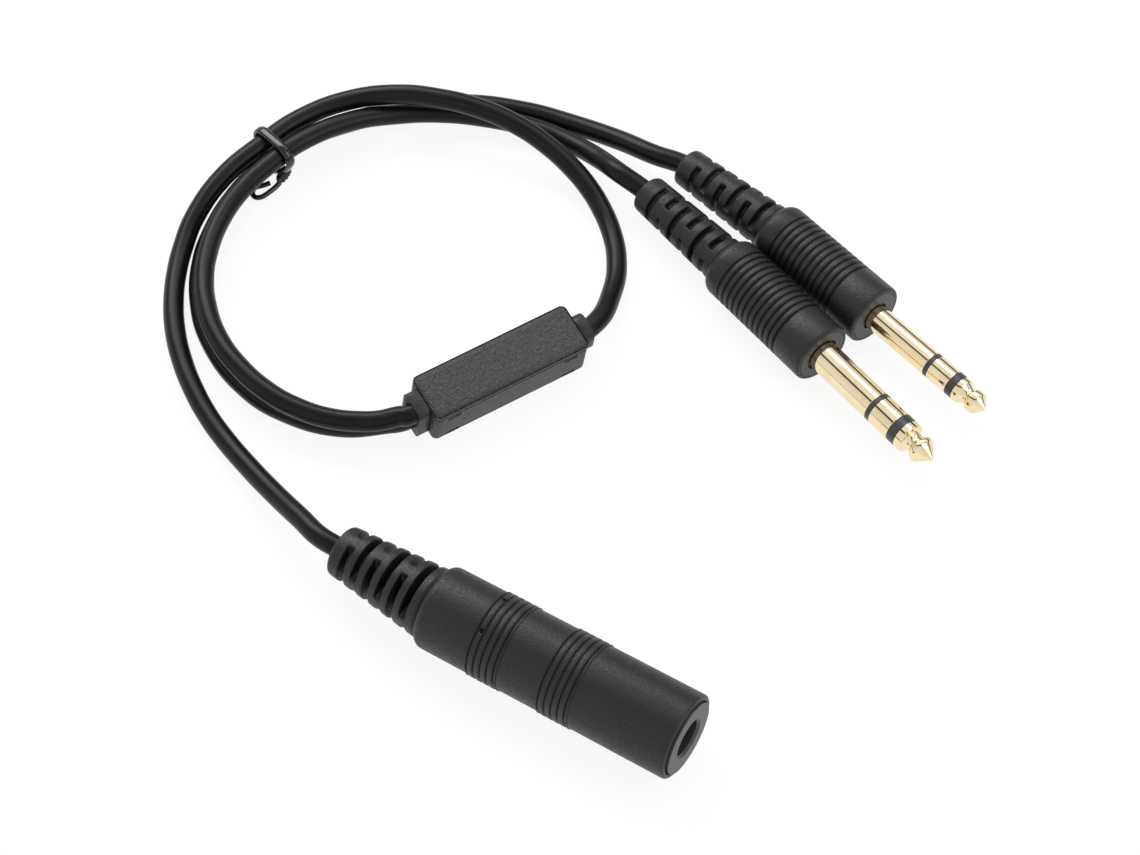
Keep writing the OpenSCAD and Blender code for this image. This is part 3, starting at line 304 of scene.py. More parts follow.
def cut(piece, cutters):
    """Cuts shapes out of a piece and takes them away."""
    for cutter in cutters:
        bpy.ops.object.select_all(action="DESELECT")
        bpy.context.view_layer.objects.active = piece
        piece.select_set(True)
        boolean = piece.modifiers.new("cut", "BOOLEAN")
        boolean.object = cutter
        boolean.solver = "EXACT"
        bpy.ops.object.modifier_apply(modifier=boolean.name)
        bpy.data.objects.remove(cutter)


# Two small round dimples in the last ridge of the rear band, on the upper side
dimple_radius, dimple_floor = 0.5, 7.7
dimples = []
for turn in (209, 155):
    outwards = socket_place @ shift(0, 0, -40) @ turn_by(turn, "Z") @ turn_by(90, "Y")
    dimples.append(turned("dimple", [
        (dimple_floor, dimple_radius - 0.15), (dimple_floor + 0.15, dimple_radius),
        (dimple_floor + 3, dimple_radius)], outwards, 32))
cut(grip, dimples)

# Soft vinyl from a spark-eroded mould: dark grey and matt, with a fine even grain that breaks
# the light into tiny flecks, and a broad soft sheen.
grip_vinyl, tree, shader, spot = finish("moulded_soft_vinyl", {
    "IOR": 1.5, "Specular IOR Level": 0.42})
grain = add(tree, "TexNoise", {"Vector": spot, "Scale": per_metre(0.42), "Detail": 3})
fleck = add(tree, "TexVoronoi", {"Vector": spot, "Scale": per_metre(0.55)})
tone = add(tree, "ValToRGB", {"Fac": grain.outputs[0]},
           [(0.3, "#121214"), (0.72, "#202022")])
tree.links.new(tone.outputs[0], shader.inputs["Base Color"])
gloss = add(tree, "MapRange", {"Value": grain.outputs[0], "From Min": 0.3, "From Max": 0.7,
                               "To Min": 0.58, "To Max": 0.35})
tree.links.new(gloss.outputs[0], shader.inputs["Roughness"])
pits = add(tree, "Math", {0: grain.outputs[0], 1: fleck.outputs["Distance"]}, operation="ADD")
relief = add(tree, "Bump", {"Height": pits.outputs[0], "Strength": 1.0, "Distance": 0.00003})
tree.links.new(relief.outputs[0], shader.inputs["Normal"])
grip.data.materials.append(grip_vinyl)
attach(grip, "lead")
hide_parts("socket_shell")


# ---------- Boots ----------
# Strain reliefs of the same soft vinyl: a cone round the cord with six pairs of slots, turned a
# quarter from one to the next so that it bends every way, and a plain rounded cap at the end.

def boot(name, place, length, sizes, roll, voxel):
    """A slotted cone behind its root at the origin: cone, slots, core and the cord's hole."""
    root, tip, cap, pitch, slot, web = sizes
    rounding = 0.9
    outline = ([(-length, tip / 2 - 2.2)]
               + bow(rounding - length, tip / 2 - rounding, rounding, -90, 0, 6)
               + [(-0.3, root / 2), (0.7, root / 2 - 0.6)])
    piece = turned(name, outline, Matrix.Identity(4), 96)
    for i in range(6):
        start = -length + cap + i * pitch
        turn = math.radians(roll + 90 * (i % 2))
        depth = 12
        halves = []
        for side in (-1, 1):
            bpy.ops.object.select_all(action="DESELECT")
            across = side * (web + depth) / 2
            bpy.ops.mesh.primitive_cube_add(
                size=0.001, scale=(24, depth, slot), rotation=(0, 0, turn),
                location=(-math.sin(turn) * across / 1000, math.cos(turn) * across / 1000,
                          (start + slot / 2) / 1000))
            halves.append(bpy.context.object)
        cut(piece, halves)
    core_radius = cord_diameter / 2 + 0.75
    core = turned(name + "_core", [(0.4 - length, core_radius), (0.3, core_radius)],
                  Matrix.Identity(4), 64)
    bpy.context.view_layer.objects.active = piece
    piece.select_set(True)
    core.select_set(True)
    bpy.ops.object.join()
    remesh = piece.modifiers.new("one_skin", "REMESH")
    remesh.mode = "VOXEL"
    remesh.voxel_size = voxel / 1000
    bpy.ops.object.modifier_apply(modifier=remesh.name)
    hole_radius = cord_diameter / 2 + 0.15
    hole = turned("hole", [(-length - 2, hole_radius), (6 - length, hole_radius)],
                  Matrix.Identity(4), 64)
    cut(piece, [hole])
    soften = piece.modifiers.new("soft_edges", "SMOOTH")
    soften.factor = 0.5
    soften.iterations = 4
    bpy.ops.object.modifier_apply(modifier=soften.name)
    piece.matrix_world = place
    bpy.ops.object.transform_apply(location=True, rotation=True, scale=True)
    bpy.ops.object.shade_smooth()
    piece.data.materials.append(grip_vinyl)
    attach(piece, "lead")
    return piece


# Diameter at the root and at the end, plain cap, slots' pitch and width, web between two slots
socket_boot_sizes = (14, 10.1, 2.7, 3, 1.5, 2.4)
plug_boot_sizes = (9.6, 7.9, 3.7, 3.3, 1.4, 2.6)
socket_boot = boot("socket_boot_relief", socket_boot_place, socket_boot_length,
                   socket_boot_sizes, -3, 0.17)
front_boot = boot("front_boot_relief", front_boot_place, plug_boot_length,
                  plug_boot_sizes, -44, 0.14)
rear_boot = boot("rear_boot_relief", rear_boot_place, plug_boot_length,
                 plug_boot_sizes, -5, 0.14)
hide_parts("socket_boot")
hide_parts("front_boot")
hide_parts("rear_boot")


# ---------- Socket insert and contacts ----------
# A hard moulded insert with the bore for the headset's plug, and four plated leaf springs in
# its windows. It is smoother and a little lighter than the grip around it.

insert_plastic, tree, shader, spot = finish("moulded_insert_plastic", {"IOR": 1.5})
grain = add(tree, "TexNoise", {"Vector": spot, "Scale": per_metre(0.5), "Detail": 2})
tone = add(tree, "ValToRGB", {"Fac": grain.outputs[0]}, [(0.3, "#2b2b2d"), (0.7, "#353537")])
tree.links.new(tone.outputs[0], shader.inputs["Base Color"])
gloss = add(tree, "MapRange", {"Value": grain.outputs[0], "To Min": 0.36, "To Max": 0.5})
tree.links.new(gloss.outputs[0], shader.inputs["Roughness"])
relief = add(tree, "Bump", {"Height": grain.outputs[0], "Strength": 1.0, "Distance": 0.000008})
tree.links.new(relief.outputs[0], shader.inputs["Normal"])

# Tin-plated spring brass: pale, satin from rolling, a little warmer where the plating is thin.
spring_plate, tree, shader, spot = finish("tinned_spring_brass", {"Metallic": 1.0})
rolled = add(tree, "TexNoise", {"Vector": spot, "Scale": per_metre(0.8), "Detail": 3})
tone = add(tree, "ValToRGB", {"Fac": rolled.outputs[0]}, [(0.35, "#c9bf9f"), (0.7, "#ded9c8")])
tree.links.new(tone.outputs[0], shader.inputs["Base Color"])
gloss = add(tree, "MapRange", {"Value": rolled.outputs[0], "To Min": 0.22, "To Max": 0.4})
tree.links.new(gloss.outputs[0], shader.inputs["Roughness"])


def coat(material, *names):
    """Gives solids of the frame a finish in place of their plain one."""
    for name in names:
        node[name].data.materials.clear()
        node[name].data.materials.append(material)


coat(insert_plastic, "socket_insert")
coat(spring_plate, "sleeve_contact", "second_ring_contact", "first_ring_contact", "tip_contact",
     "solder_lugs", "socket_clamp", "front_clamp", "rear_clamp", "front_terminals",
     "rear_terminals")

# Cores in the grip, the box and the plugs: thin wires in glossy coloured insulation.
core_vinyl, tree, shader, spot = finish("glossy_core_insulation", {"Roughness": 0.3})
split = add(tree, "TexNoise", {"Vector": spot, "Scale": per_metre(9), "Detail": 0})
tone = add(tree, "ValToRGB", {"Fac": split.outputs[0]}, [(0.46, "#a8261e"), (0.54, "#d9d4c6")])
tree.links.new(tone.outputs[0], shader.inputs["Base Color"])
coat(core_vinyl, "socket_wires", "box_wires", "front_wires", "rear_wires")


# ---------- Matching box ----------
# A small box of hard black plastic that snaps together: a tray and a flat cover, both with the
# leathery grain of a spark-eroded mould, and a soft collar at each end where the cords pass.

# Hard moulded plastic: dark grey, leathery grain of half a millimetre, satin on its crests.
box_plastic, tree, shader, spot = finish("grained_hard_plastic", {"IOR": 1.5})
hide = add(tree, "TexVoronoi", {"Vector": spot, "Scale": per_metre(0.7), "Smoothness": 0.6},
           feature="SMOOTH_F1")
fine = add(tree, "TexNoise", {"Vector": spot, "Scale": per_metre(0.4), "Detail": 3})
tone = add(tree, "ValToRGB", {"Fac": fine.outputs[0]}, [(0.3, "#1c1c1e"), (0.7, "#414143")])
tree.links.new(tone.outputs[0], shader.inputs["Base Color"])
gloss = add(tree, "MapRange", {"Value": fine.outputs[0], "To Min": 0.62, "To Max": 0.42})
tree.links.new(gloss.outputs[0], shader.inputs["Roughness"])
pits = add(tree, "Math", {0: hide.outputs["Distance"], 1: fine.outputs[0]}, operation="ADD")
relief = add(tree, "Bump", {"Height": pits.outputs[0], "Strength": 1.0, "Distance": 0.00013})
tree.links.new(relief.outputs[0], shader.inputs["Normal"])


def block(name, low, high):
    """A plain block between two corners, in the box's own frame."""
    bpy.ops.object.select_all(action="DESELECT")
    middle = [(a + b) / 2000 for a, b in zip(low, high)]
    bpy.ops.mesh.primitive_cube_add(
        size=0.001, location=middle, scale=[b - a for a, b in zip(low, high)])
    bpy.ops.object.transform_apply(location=True, rotation=True, scale=True)
    bpy.context.object.name = name
    return bpy.context.object


def round_edges(piece, wanted, size, steps):
    """Rounds or, with one step, bevels the edges that a test on their two ends picks."""
    bpy.context.view_layer.objects.active = piece
    bpy.ops.object.mode_set(mode="EDIT")
    bpy.ops.mesh.select_all(action="DESELECT")
    bpy.ops.object.mode_set(mode="OBJECT")
    for edge in piece.data.edges:
        edge.select = wanted(*[piece.data.vertices[v].co * 1000 for v in edge.vertices])
    bpy.ops.object.mode_set(mode="EDIT")
    bpy.ops.mesh.select_mode(type="EDGE")
    bpy.ops.mesh.bevel(offset=size / 1000, segments=steps, affect="EDGES")
    bpy.ops.object.mode_set(mode="OBJECT")


def upright(a, b):
    """Whether an edge stands up, from its two ends."""
    return abs(a.z - b.z) > 1


def sharp_rims(piece, size):
    """A small rounding on every edge that the mould leaves sharp."""
    bpy.ops.object.select_all(action="DESELECT")
    bpy.context.view_layer.objects.active = piece
    piece.select_set(True)
    rims = piece.modifiers.new("rims", "BEVEL")
    rims.width = size / 1000
    rims.segments = 2
    rims.limit_method = "ANGLE"
    rims.angle_limit = math.radians(25)
    bpy.ops.object.modifier_apply(modifier=rims.name)


def into_place(piece, place, material, slot, *solids):
    """Sets a finished piece down at its place, with its material, in the frame."""
    bpy.ops.object.select_all(action="DESELECT")
    bpy.context.view_layer.objects.active = piece
    piece.select_set(True)
    piece.matrix_world = place @ piece.matrix_world
    bpy.ops.object.transform_apply(location=True, rotation=True, scale=True)
    bpy.ops.object.shade_smooth_by_angle(angle=math.radians(35))
    piece.data.materials.append(material)
    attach(piece, "lead")
    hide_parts(*solids)


def joined(piece, others):
    """One piece made of several shapes that touch."""
    bpy.ops.object.select_all(action="DESELECT")
    for other in others:
        other.select_set(True)
    piece.select_set(True)
    bpy.context.view_layer.objects.active = piece
    bpy.ops.object.join()
    return piece


box_end, box_side, box_top = 17, 5.05, 9.7
wall, seam = 1.1, 8.1
corner, latch_x, latch_reach = 1.2, 12.95, 1.45

cover = block("box_lid", (-box_end, -box_side, seam + 0.02), (box_end, box_side, box_top))
round_edges(cover, upright, corner, 6)
round_edges(cover, lambda a, b: min(a.z, b.z) > box_top - 0.1, 0.6, 5)
sharp_rims(cover, 0.12)
latches = []
for x in (-latch_x, latch_x):
    for side in (-1, 1):
        latches.append(block("tongue", (x - latch_reach, side * 3.58 - 0.35, 6.7),
                             (x + latch_reach, side * 3.58 + 0.35, seam + 0.04)))
        latches.append(block("hook", (x - 1.25, side * 4.05 - 0.4, 7.1),
                             (x + 1.25, side * 4.05 + 0.4, 7.4)))
into_place(joined(cover, latches), box_place, box_plastic, "box_abs", "box_cover")

tray = block("box_tray", (-box_end, -box_side, 0), (box_end, box_side, seam))
round_edges(tray, upright, corner, 6)
round_edges(tray, lambda a, b: max(a.z, b.z) < 0.1, 0.6, 1)
openings = [block("hollow", (wall - box_end, wall - box_side, wall),
                  (box_end - wall, box_side - wall, seam + 0.9)),
            block("collar_way", (-box_end - 1, -2.52, 1.38), (box_end + 1, 2.52, 7.82))]
for x in (-latch_x, latch_x):
    openings.append(block("window", (x - latch_reach, -box_side - 0.95, 6.8),
                          (x + latch_reach, box_side + 0.95, 7.7)))
    for side in (-1, 1):
        openings.append(block("pry_slot", (x - latch_reach, side * box_side - 0.7, 0.7),
                              (x + latch_reach, side * box_side + 0.7, 1.6)))
cut(tray, openings)
sharp_rims(tray, 0.1)
into_place(tray, box_place, box_plastic, "box_abs", "box_base")


def collar(name, end, height, rounding, solid, holes):
    """A collar outside an end wall, its neck through the wall and its flange inside."""
    low, high = main_exit_z - height / 2, main_exit_z + height / 2
    start, stop = sorted((end * collar_face, end * (box_end + 0.02)))
    piece = block(name, (start, -3.1, low), (stop, 3.1, high))
    round_edges(piece, lambda a, b: abs(a.x - b.x) > 1, rounding, 6)
    cut(piece, holes)
    sharp_rims(piece, 0.2)
    inside = box_end - wall - 0.02
    start, stop = sorted((end * (inside - 0.8), end * (box_end + 0.03)))
    neck = block("neck", (start, -2.5, 1.4), (stop, 2.5, 7.8))
    start, stop = sorted((end * (inside - 0.8), end * inside))
    flange = block("flange", (start, -2.9, 1.4), (stop, 2.9, 7.8))
    into_place(joined(piece, [neck, flange]), box_place, grip_vinyl, "collar_pvc", solid)


def cord_hole(y, z, radius, end):
    """A round hole for a cord, from the collar's face as far as the wall."""
    start, stop = sorted((end * (box_end - 0.05), end * (collar_face + 0.4)))
    outline = [(start, radius), (stop, radius)]
    return turned("cord_hole", outline, shift(0, y, z) @ turn_by(90, "Y"), 48)


collar("single_cord_collar", 1, 7.4, 2.6, "main_collar", [cord_hole(0, main_exit_z, 2.2, 1)])
collar("twin_cord_collar", -1, 8.8, 1.2, "twin_collar",
       [cord_hole(front_exit_y, front_exit_z, 2.08, -1),
        cord_hole(rear_exit_y, rear_exit_z, 2.08, -1)])

# What the box holds, first its board: glass cloth in green resin, its weave just showing.
board_laminate, tree, shader, spot = finish("lacquered_glass_laminate", {"Roughness": 0.35})
weave = add(tree, "TexChecker", {"Vector": spot, "Scale": per_metre(0.5),
                                 "Color1": srgb("#1f5a38"), "Color2": srgb("#246640")})
tree.links.new(weave.outputs[0], shader.inputs["Base Color"])
coat(board_laminate, "circuit_board")

# The transformer's core: bare steel plates, dull, with a dark line where two meet.
core_plates, tree, shader, spot = finish("stacked_steel_plates", {
    "Metallic": 1.0, "Roughness": 0.4})
plates = add(tree, "TexWave", {"Vector": spot, "Scale": per_metre(3), "Distortion": 0.4},
             bands_direction="Z")
tone = add(tree, "ValToRGB", {"Fac": plates.outputs[0]}, [(0.2, "#56565a"), (0.8, "#8c8c90")])
tree.links.new(tone.outputs[0], shader.inputs["Base Color"])
coat(core_plates, "transformer_core")

# Its coil: copper wire in clear enamel, glossy, with bands across it for the turns, darker in the
# gaps between them as painted shade.
winding, tree, shader, spot = finish("enamelled_copper_winding", {
    "Metallic": 1.0, "Roughness": 0.25})
turns_and_gap_shade = add(tree, "TexWave", {"Vector": spot, "Scale": per_metre(1.2), "Distortion": 0.6},
            bands_direction="X")
# The ramp's dark end is painted shade in the gaps between the turns, and its light end is the
# copper of the turns.
tone = add(tree, "ValToRGB", {"Fac": turns_and_gap_shade.outputs[0]}, [(0.2, "#7a3e1c"), (0.8, "#c4713a")])
tree.links.new(tone.outputs[0], shader.inputs["Base Color"])
coat(winding, "transformer_coil")

# The capacitor's sleeve: blue film shrunk on, glossy.
sleeve_film, tree, shader, spot = finish("shrunk_capacitor_sleeve", {"Roughness": 0.25})
film = add(tree, "TexNoise", {"Vector": spot, "Scale": per_metre(2), "Detail": 2})
tone = add(tree, "ValToRGB", {"Fac": film.outputs[0]}, [(0.3, "#26324c"), (0.7, "#2f3f60")])
tree.links.new(tone.outputs[0], shader.inputs["Base Color"])
coat(sleeve_film, "capacitor")

# The resistors' bodies: sand-coloured lacquer, satin.
resistor_lacquer, tree, shader, spot = finish("resistor_lacquer", {"Roughness": 0.4})
lacquer = add(tree, "TexNoise", {"Vector": spot, "Scale": per_metre(1), "Detail": 2})
tone = add(tree, "ValToRGB", {"Fac": lacquer.outputs[0]}, [(0.3, "#bda577"), (0.7, "#cdb68b")])
tree.links.new(tone.outputs[0], shader.inputs["Base Color"])
coat(resistor_lacquer, "resistors")


# ---------- Plug barrels ----------
# The plugs' grips, moulded over their contacts in the same soft vinyl: twelve narrow grooves
# between rounded ridges, a plain collar, and a hard disc that closes the front.

rear_round, front_round = 2.1, 0.6
first_groove, groove_pitch, groove_count = -7.6, 1.5, 12
nose_radius, nose_seat = 5.42, -2.42
inside_radius, boot_way, back_wall = 4.3, 3.62, 2.4
barrel_outline = [(-barrel_length, boot_way)] + bow(
    rear_round - barrel_length, barrel_radius - rear_round, rear_round, -90, 0, 8)
for i in reversed(range(groove_count)):
    barrel_outline += groove(first_groove - i * groove_pitch, 0.55, 0.42, barrel_radius, 0.18)
barrel_outline += bow(-front_round, barrel_radius - front_round, front_round, 0, 90, 6) + [
    (-0.04, nose_radius + 0.04), (-0.1, nose_radius), (nose_seat, nose_radius),
    (nose_seat, inside_radius), (back_wall - barrel_length, inside_radius),
    (back_wall - barrel_length, boot_way), (-barrel_length, boot_way)]
for side, place in (("front", front_place), ("rear", rear_place)):
    barrel = turned(side + "_grip", barrel_outline, place)
    barrel.data.materials.append(grip_vinyl)
    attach(barrel, "lead")
    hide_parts(side + "_barrel")
coat(insert_plastic, "front_nose", "rear_nose")


# ---------- Plug contacts ----------
# The contacts of each plug: turned brass with a polished gold plate, one behind the other on
# one shaft, held apart by two bands of dark nylon. The farther plug is thinner.

# Gold plate over polished brass: a pale warm mirror, its gloss a little uneven from handling.
gold_plate, tree, shader, spot = finish("polished_gold_plate", {"Metallic": 1.0})
wear = add(tree, "TexNoise", {"Vector": spot, "Scale": per_metre(3), "Detail": 3})
tone = add(tree, "ValToRGB", {"Fac": wear.outputs[0]}, [(0.3, "#eed9ae"), (0.7, "#f5e5c4")])
tree.links.new(tone.outputs[0], shader.inputs["Base Color"])
gloss = add(tree, "MapRange", {"Value": wear.outputs[0], "To Min": 0.06, "To Max": 0.12})
tree.links.new(gloss.outputs[0], shader.inputs["Roughness"])

# Nylon bands: dark grey, satin, with a faint mould haze.
band_nylon, tree, shader, spot = finish("moulded_dark_nylon", {"IOR": 1.53})
haze = add(tree, "TexNoise", {"Vector": spot, "Scale": per_metre(0.6), "Detail": 2})
tone = add(tree, "ValToRGB", {"Fac": haze.outputs[0]}, [(0.3, "#2c2c2e"), (0.7, "#38383a")])
tree.links.new(tone.outputs[0], shader.inputs["Base Color"])
gloss = add(tree, "MapRange", {"Value": haze.outputs[0], "To Min": 0.3, "To Max": 0.42})
tree.links.new(gloss.outputs[0], shader.inputs["Roughness"])


def contact(name, outline, place, material, solid):
    """One contact or band of a plug, turned from an outline of (distance, radius)."""
    piece = turned(name, outline, place)
    piece.data.materials.append(material)
    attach(piece, "lead")
    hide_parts(solid)


def shaft(side, place, radius, sleeve, band_one, ring, band_two, tip_outline):
    """A plug's sleeve, first band, ring, second band and tip, on concentric tubes."""
    lip, shy, gap = 0.06, 0.04, 0.02
    rod, tube_wall = 0.7, 0.38
    tube_back, ring_back, rod_back = -6, -7.8, -9.6
    flange, flange_front = inside_radius - gap, nose_seat - gap
    band_two_bore, ring_bore, band_one_bore, sleeve_bore = [
        rod + gap + i * (tube_wall + gap) for i in range(4)]
    contact(side + "_plug_sleeve",
            [(tube_back, sleeve_bore), (tube_back, flange), (flange_front, flange),
             (flange_front, radius - 0.3), (0, radius - 0.3), (0, radius - lip), (lip, radius),
             (sleeve - lip, radius), (sleeve, radius - lip), (sleeve, sleeve_bore),
             (tube_back, sleeve_bore)], place, gold_plate, side + "_sleeve")
    start, end = sleeve + gap, sleeve + band_one
    contact(side + "_first_band",
            [(tube_back, band_one_bore), (tube_back, band_one_bore + tube_wall),
             (start, band_one_bore + tube_wall), (start, radius - shy), (end, radius - shy),
             (end, band_one_bore), (tube_back, band_one_bore)], place, band_nylon,
            side + "_ring_insulator")
    start, end = end + gap, end + ring - gap
    contact(side + "_plug_ring",
            [(ring_back, ring_bore), (ring_back, ring_bore + tube_wall),
             (start, ring_bore + tube_wall), (start, radius - lip), (start + lip, radius),
             (end - lip, radius), (end, radius - lip), (end, ring_bore),
             (ring_back, ring_bore)], place, gold_plate, side + "_ring")
    start, end = end + gap, end + band_two
    contact(side + "_second_band",
            [(ring_back, band_two_bore), (ring_back, band_two_bore + tube_wall),
             (start, band_two_bore + tube_wall), (start, radius - shy), (end, radius - shy),
             (end, band_two_bore), (ring_back, band_two_bore)], place, band_nylon,
            side + "_tip_insulator")
    start = end + gap
    contact(side + "_plug_tip",
            [(rod_back, rod), (start, rod), (start, radius - lip)]
            + [(start + s, r) for s, r in tip_outline], place, gold_plate,
            side + "_tip")


# The nearer plug's tip: a collar, a smooth hollow neck, a round ball and a straight cone
ball_tip = ([(0.06, 3.175), (1.3, 3.175), (1.37, 3.1)] + bow(2.772, 3.15, 1.2, 265, 120, 12)
            + bow(4.62, 1.85, 0.95, -30, 50, 10) + bow(7.25, 0, 0.45, 30, 85, 5))
# The farther plug's tip: a collar, a sharper neck, a straight head, a cone and a small point
cone_tip = [(0.06, 2.615), (1.2, 2.615), (1.26, 2.58), (1.52, 2.36), (2.23, 1.84), (2.34, 1.8),
            (2.7, 1.8), (2.8, 1.83), (3.2, 2.1), (3.3, 2.2), (3.45, 2.33), (3.52, 2.35),
            (4.76, 2.35), (4.86, 2.32), (5.1, 2.2), (5.2, 2.12)] + bow(6.45, 0, 0.45, 35, 85, 5)
shaft("front", front_place, 3.175, 15.8, 1.1, 5.1, 2, ball_tip)
shaft("rear", rear_place, 2.615, 15.6, 1, 4.9, 1.7, cone_tip)


# ---------- Twist tie ----------
# A wire in a glossy black vinyl coat that holds the three cords together: one round band, its
# ends twisted into a knot on the inner side, and a tail that lies bent back on the table.

tie_x, tie_y, cords_heading = -103.8, 74.8, math.radians(73)
tie_across = Vector((math.cos(cords_heading), math.sin(cords_heading), 0))


def swept(name, points, width, thick, across=None):
    """A piece of coated wire along points: an oval whose width lies across the band."""
    sides = 16
    line = [Vector(p) / 1000 for p in points]
    bpy.ops.object.select_all(action="DESELECT")
    mesh = bpy.data.meshes.new(name)
    corners, faces = [], []
    for i, point in enumerate(line):
        run = (line[min(i + 1, len(line) - 1)] - line[max(i - 1, 0)]).normalized()
        if across is None:
            side = run.cross(Vector((0, 0, 1))).normalized()
        else:
            side = (across - run * across.dot(run)).normalized()
        up = side.cross(run)
        for k in range(sides):
            turn = 2 * math.pi * k / sides
            corners.append(point + side * math.cos(turn) * width / 2000
                           + up * math.sin(turn) * thick / 2000)
    for i in range(len(line) - 1):
        for k in range(sides):
            a, b = i * sides + k, i * sides + (k + 1) % sides
            faces.append((a, b, b + sides, a + sides))
    faces.append(tuple(range(sides))[::-1])
    faces.append(tuple(range((len(line) - 1) * sides, len(line) * sides)))
    mesh.from_pydata(corners, [], faces)
    piece = bpy.data.objects.new(name, mesh)
    bpy.context.scene.collection.objects.link(piece)
    bpy.context.view_layer.objects.active = piece
    piece.select_set(True)
    bpy.ops.object.mode_set(mode="EDIT")
    bpy.ops.mesh.select_all(action="SELECT")
    bpy.ops.mesh.normals_make_consistent(inside=False)
    bpy.ops.object.mode_set(mode="OBJECT")
    bpy.ops.object.shade_smooth()
    return piece


def smoothed(points, steps=6):
    """A smooth line through points, with this many steps from one to the next."""
    p = [Vector(q) for q in points]
    p = [p[0] * 2 - p[1]] + p + [p[-1] * 2 - p[-2]]
    line = []
    for a, b, c, d in zip(p, p[1:], p[2:], p[3:]):
        for i in range(steps):
            t = i / steps
            line.append(0.5 * (2 * b + (c - a) * t + (2 * a - 5 * b + 4 * c - d) * t * t
                               + (3 * b - 3 * c + d - a) * t ** 3))
    return line + [p[-2]]


def tie_point(sideways, z):
    """A point of the plane that the band lies in, square to the cords."""
    return (tie_x + sideways * tie_across.y, tie_y - sideways * tie_across.x, z)


def tie_arc(sideways, z, start, end):
    """The band's way round one cord, in six steps."""
    reach = 2.75
    angles = [math.radians(start + (end - start) * i / 6) for i in range(7)]
    return [tie_point(sideways + reach * math.cos(a), z + reach * math.sin(a)) for a in angles]


band_line = ([tie_point(4.6, 4)] + tie_arc(3.3, 7.8, -30, 90) + tie_arc(-1.7, 7.4, 90, 210)
             + tie_arc(0, 3.5, 210, 318) + [tie_point(4, 3.2)])
band = swept("tie_band", smoothed(band_line, 4), 2.1, 1.0, tie_across)
knot_line = smoothed([(-99.8, 73.9, 3.6), (-100.1, 73.3, 2.4), (-100.7, 72.3, 1.5)], 16)
strand_reach, twist = 0.5, 22
strands = []
for turn in (0, 180):
    strand = []
    for i, point in enumerate(knot_line):
        run = (knot_line[min(i + 1, len(knot_line) - 1)] - knot_line[max(i - 1, 0)]).normalized()
        side = run.cross(Vector((0, 0, 1))).normalized()
        angle = math.radians(turn + twist * i)
        strand.append(point + strand_reach * (side * math.cos(angle)
                                              + side.cross(run) * math.sin(angle)))
    strands.append(swept("tie_strand", strand, 1.15, 1.15))
tail_line = smoothed([
    (-100.6, 72.5, 1.5), (-100.4, 71.5, 1.1), (-100.8, 69.6, 0.8), (-101.6, 67.4, 0.6),
    (-102.7, 66.6, 0.6), (-103.8, 67.2, 0.6), (-104.1, 68.6, 0.6), (-103, 69.9, 0.7),
    (-102, 70.9, 1.1)])
tail = swept("tie_tail", tail_line, 1.1, 1.0)
tie = joined(band, strands + [tail])
tie.name = "cord_tie"

# Glossy vinyl drawn over wire: black, with a faint ripple from the bends.
tie_vinyl, tree, shader, spot = finish("glossy_vinyl_coat", {"IOR": 1.52})
ripple = add(tree, "TexNoise", {"Vector": spot, "Scale": per_metre(1.5), "Detail": 2})
tone = add(tree, "ValToRGB", {"Fac": ripple.outputs[0]}, [(0.3, "#0b0b0c"), (0.7, "#111113")])
tree.links.new(tone.outputs[0], shader.inputs["Base Color"])
gloss = add(tree, "MapRange", {"Value": ripple.outputs[0], "To Min": 0.14, "To Max": 0.24})
tree.links.new(gloss.outputs[0], shader.inputs["Roughness"])
relief = add(tree, "Bump", {"Height": ripple.outputs[0], "Strength": 1.0, "Distance": 0.00004})
tree.links.new(relief.outputs[0], shader.inputs["Normal"])
tie.data.materials.append(tie_vinyl)
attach(tie, "lead")
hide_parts("twist_tie")


# ---------- Table and light ----------
# A plain white table, in a bright room with three soft lamps: one to the left and one to the
# right, a little behind the cable, and a wide one high up at the back. The room has three
# dark gaps, which only mirrored rays see: they draw the thin dark lines along the gold.

bpy.ops.object.select_all(action="DESELECT")
bpy.ops.mesh.primitive_plane_add(size=6, location=(0, 0, 0))
table = bpy.context.object
table.name = "table"
table_white, tree, shader, spot = finish("matt_white_table", {
    "Base Color": srgb("#f2f2f2"), "Roughness": 0.9, "Specular IOR Level": 0.0})
# The table looks white to the eye and in mirrors, and keeps a little of the cable's shadow.
rays = add(tree, "LightPath")
seen = add(tree, "Math", {0: rays.outputs["Is Camera Ray"], 1: rays.outputs["Is Glossy Ray"]},
           operation="MAXIMUM")
seen = add(tree, "Math", {0: seen.outputs[0], 1: rays.outputs["Is Transmission Ray"]},
           operation="MAXIMUM")
share = add(tree, "Math", {0: seen.outputs[0], 1: 0.85}, operation="MULTIPLY")
white = add(tree, "Emission", {"Color": srgb("#ffffff"), "Strength": 1.05})
blend = add(tree, "MixShader", {0: share.outputs[0], 1: shader.outputs[0], 2: white.outputs[0]})
tree.links.new(blend.outputs[0], tree.nodes["Material Output"].inputs["Surface"])
table.data.materials.append(table_white)


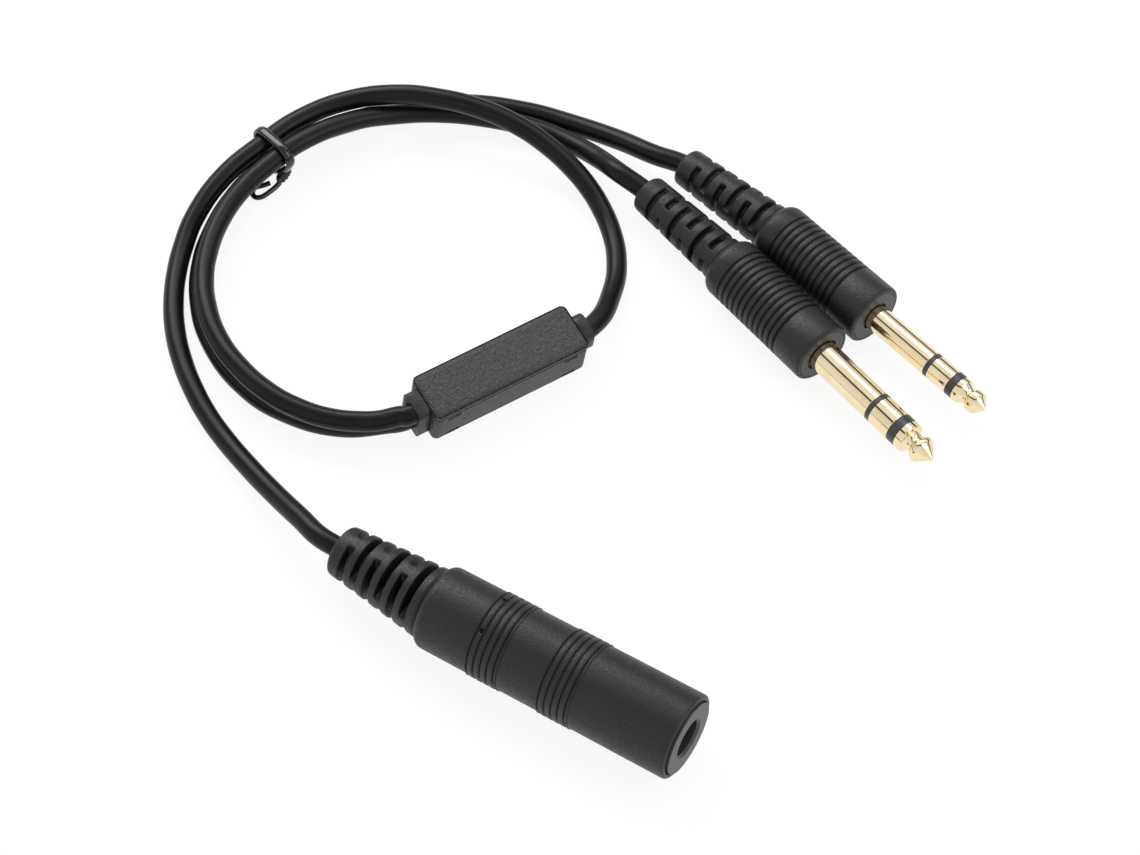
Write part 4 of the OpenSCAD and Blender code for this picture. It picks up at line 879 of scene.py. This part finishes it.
def lamp(name, place, size, power):
    """A soft lamp that faces the middle of the cable."""
    bpy.ops.object.light_add(type="AREA", location=place)
    made = bpy.context.object
    made.name = name
    made.data.shape = "RECTANGLE"
    made.data.size, made.data.size_y = size
    made.data.energy = power
    made.rotation_euler = (aim - Vector(place)).to_track_quat("-Z", "Y").to_euler()


lamp("left_lamp", (-0.55, 0.35, 0.55), (0.5, 0.35), 3.2)
lamp("right_lamp", (0.6, 0.1, 0.45), (0.35, 0.5), 1.2)
lamp("top_lamp", (-0.05, 0.5, 0.7), (0.7, 0.3), 1.6)

# The room: plain white to the eye, softer as light, and with its gaps in what mirrors it. A
# stop of the ramp stands for a lean of the ray, from level in front over the top to the back.
room = bpy.data.worlds.new("bright_room")
bpy.context.scene.world = room
room.use_nodes = True
tree = room.node_tree
rays = add(tree, "LightPath")
ray = add(tree, "TexCoord").outputs["Generated"]
parts = add(tree, "SeparateXYZ", {0: ray})
lean = add(tree, "Math", {0: parts.outputs["Y"], 1: parts.outputs["Z"]}, operation="ARCTAN2")
across = add(tree, "MapRange", {"Value": lean.outputs[0], "From Min": -math.pi / 2,
                                "From Max": math.pi / 2})
mirrored = add(tree, "ValToRGB", {"Fac": across.outputs[0]},
               [(0.0, "#f8f8f8"), (0.25, "#f0f0f0"), (0.35, "#e0e0e0"), (0.37, "#303030"),
                (0.417, "#303030"), (0.44, "#f4f4f4"), (0.589, "#fcfcfc"), (0.606, "#383838"),
                (0.652, "#383838"), (0.672, "#e8e8e8"), (0.844, "#e8e8e8"), (0.86, "#404040"),
                (0.924, "#404040"), (0.944, "#f0f0f0"), (1.0, "#f8f8f8")])
lit = add(tree, "Mix", {0: rays.outputs["Is Glossy Ray"], 2: 0.6, 3: mirrored.outputs[0]},
          data_type="FLOAT")
clear = add(tree, "Math", {0: rays.outputs["Is Camera Ray"],
                           1: rays.outputs["Is Transmission Ray"]}, operation="MAXIMUM")
strength = add(tree, "Mix", {0: clear.outputs[0], 2: lit.outputs[0], 3: 1.0},
               data_type="FLOAT")
background = tree.nodes["Background"]
background.inputs["Color"].default_value = srgb("#ffffff")
tree.links.new(strength.outputs[0], background.inputs["Strength"])
bpy.context.scene.view_settings.view_transform = "Standard"
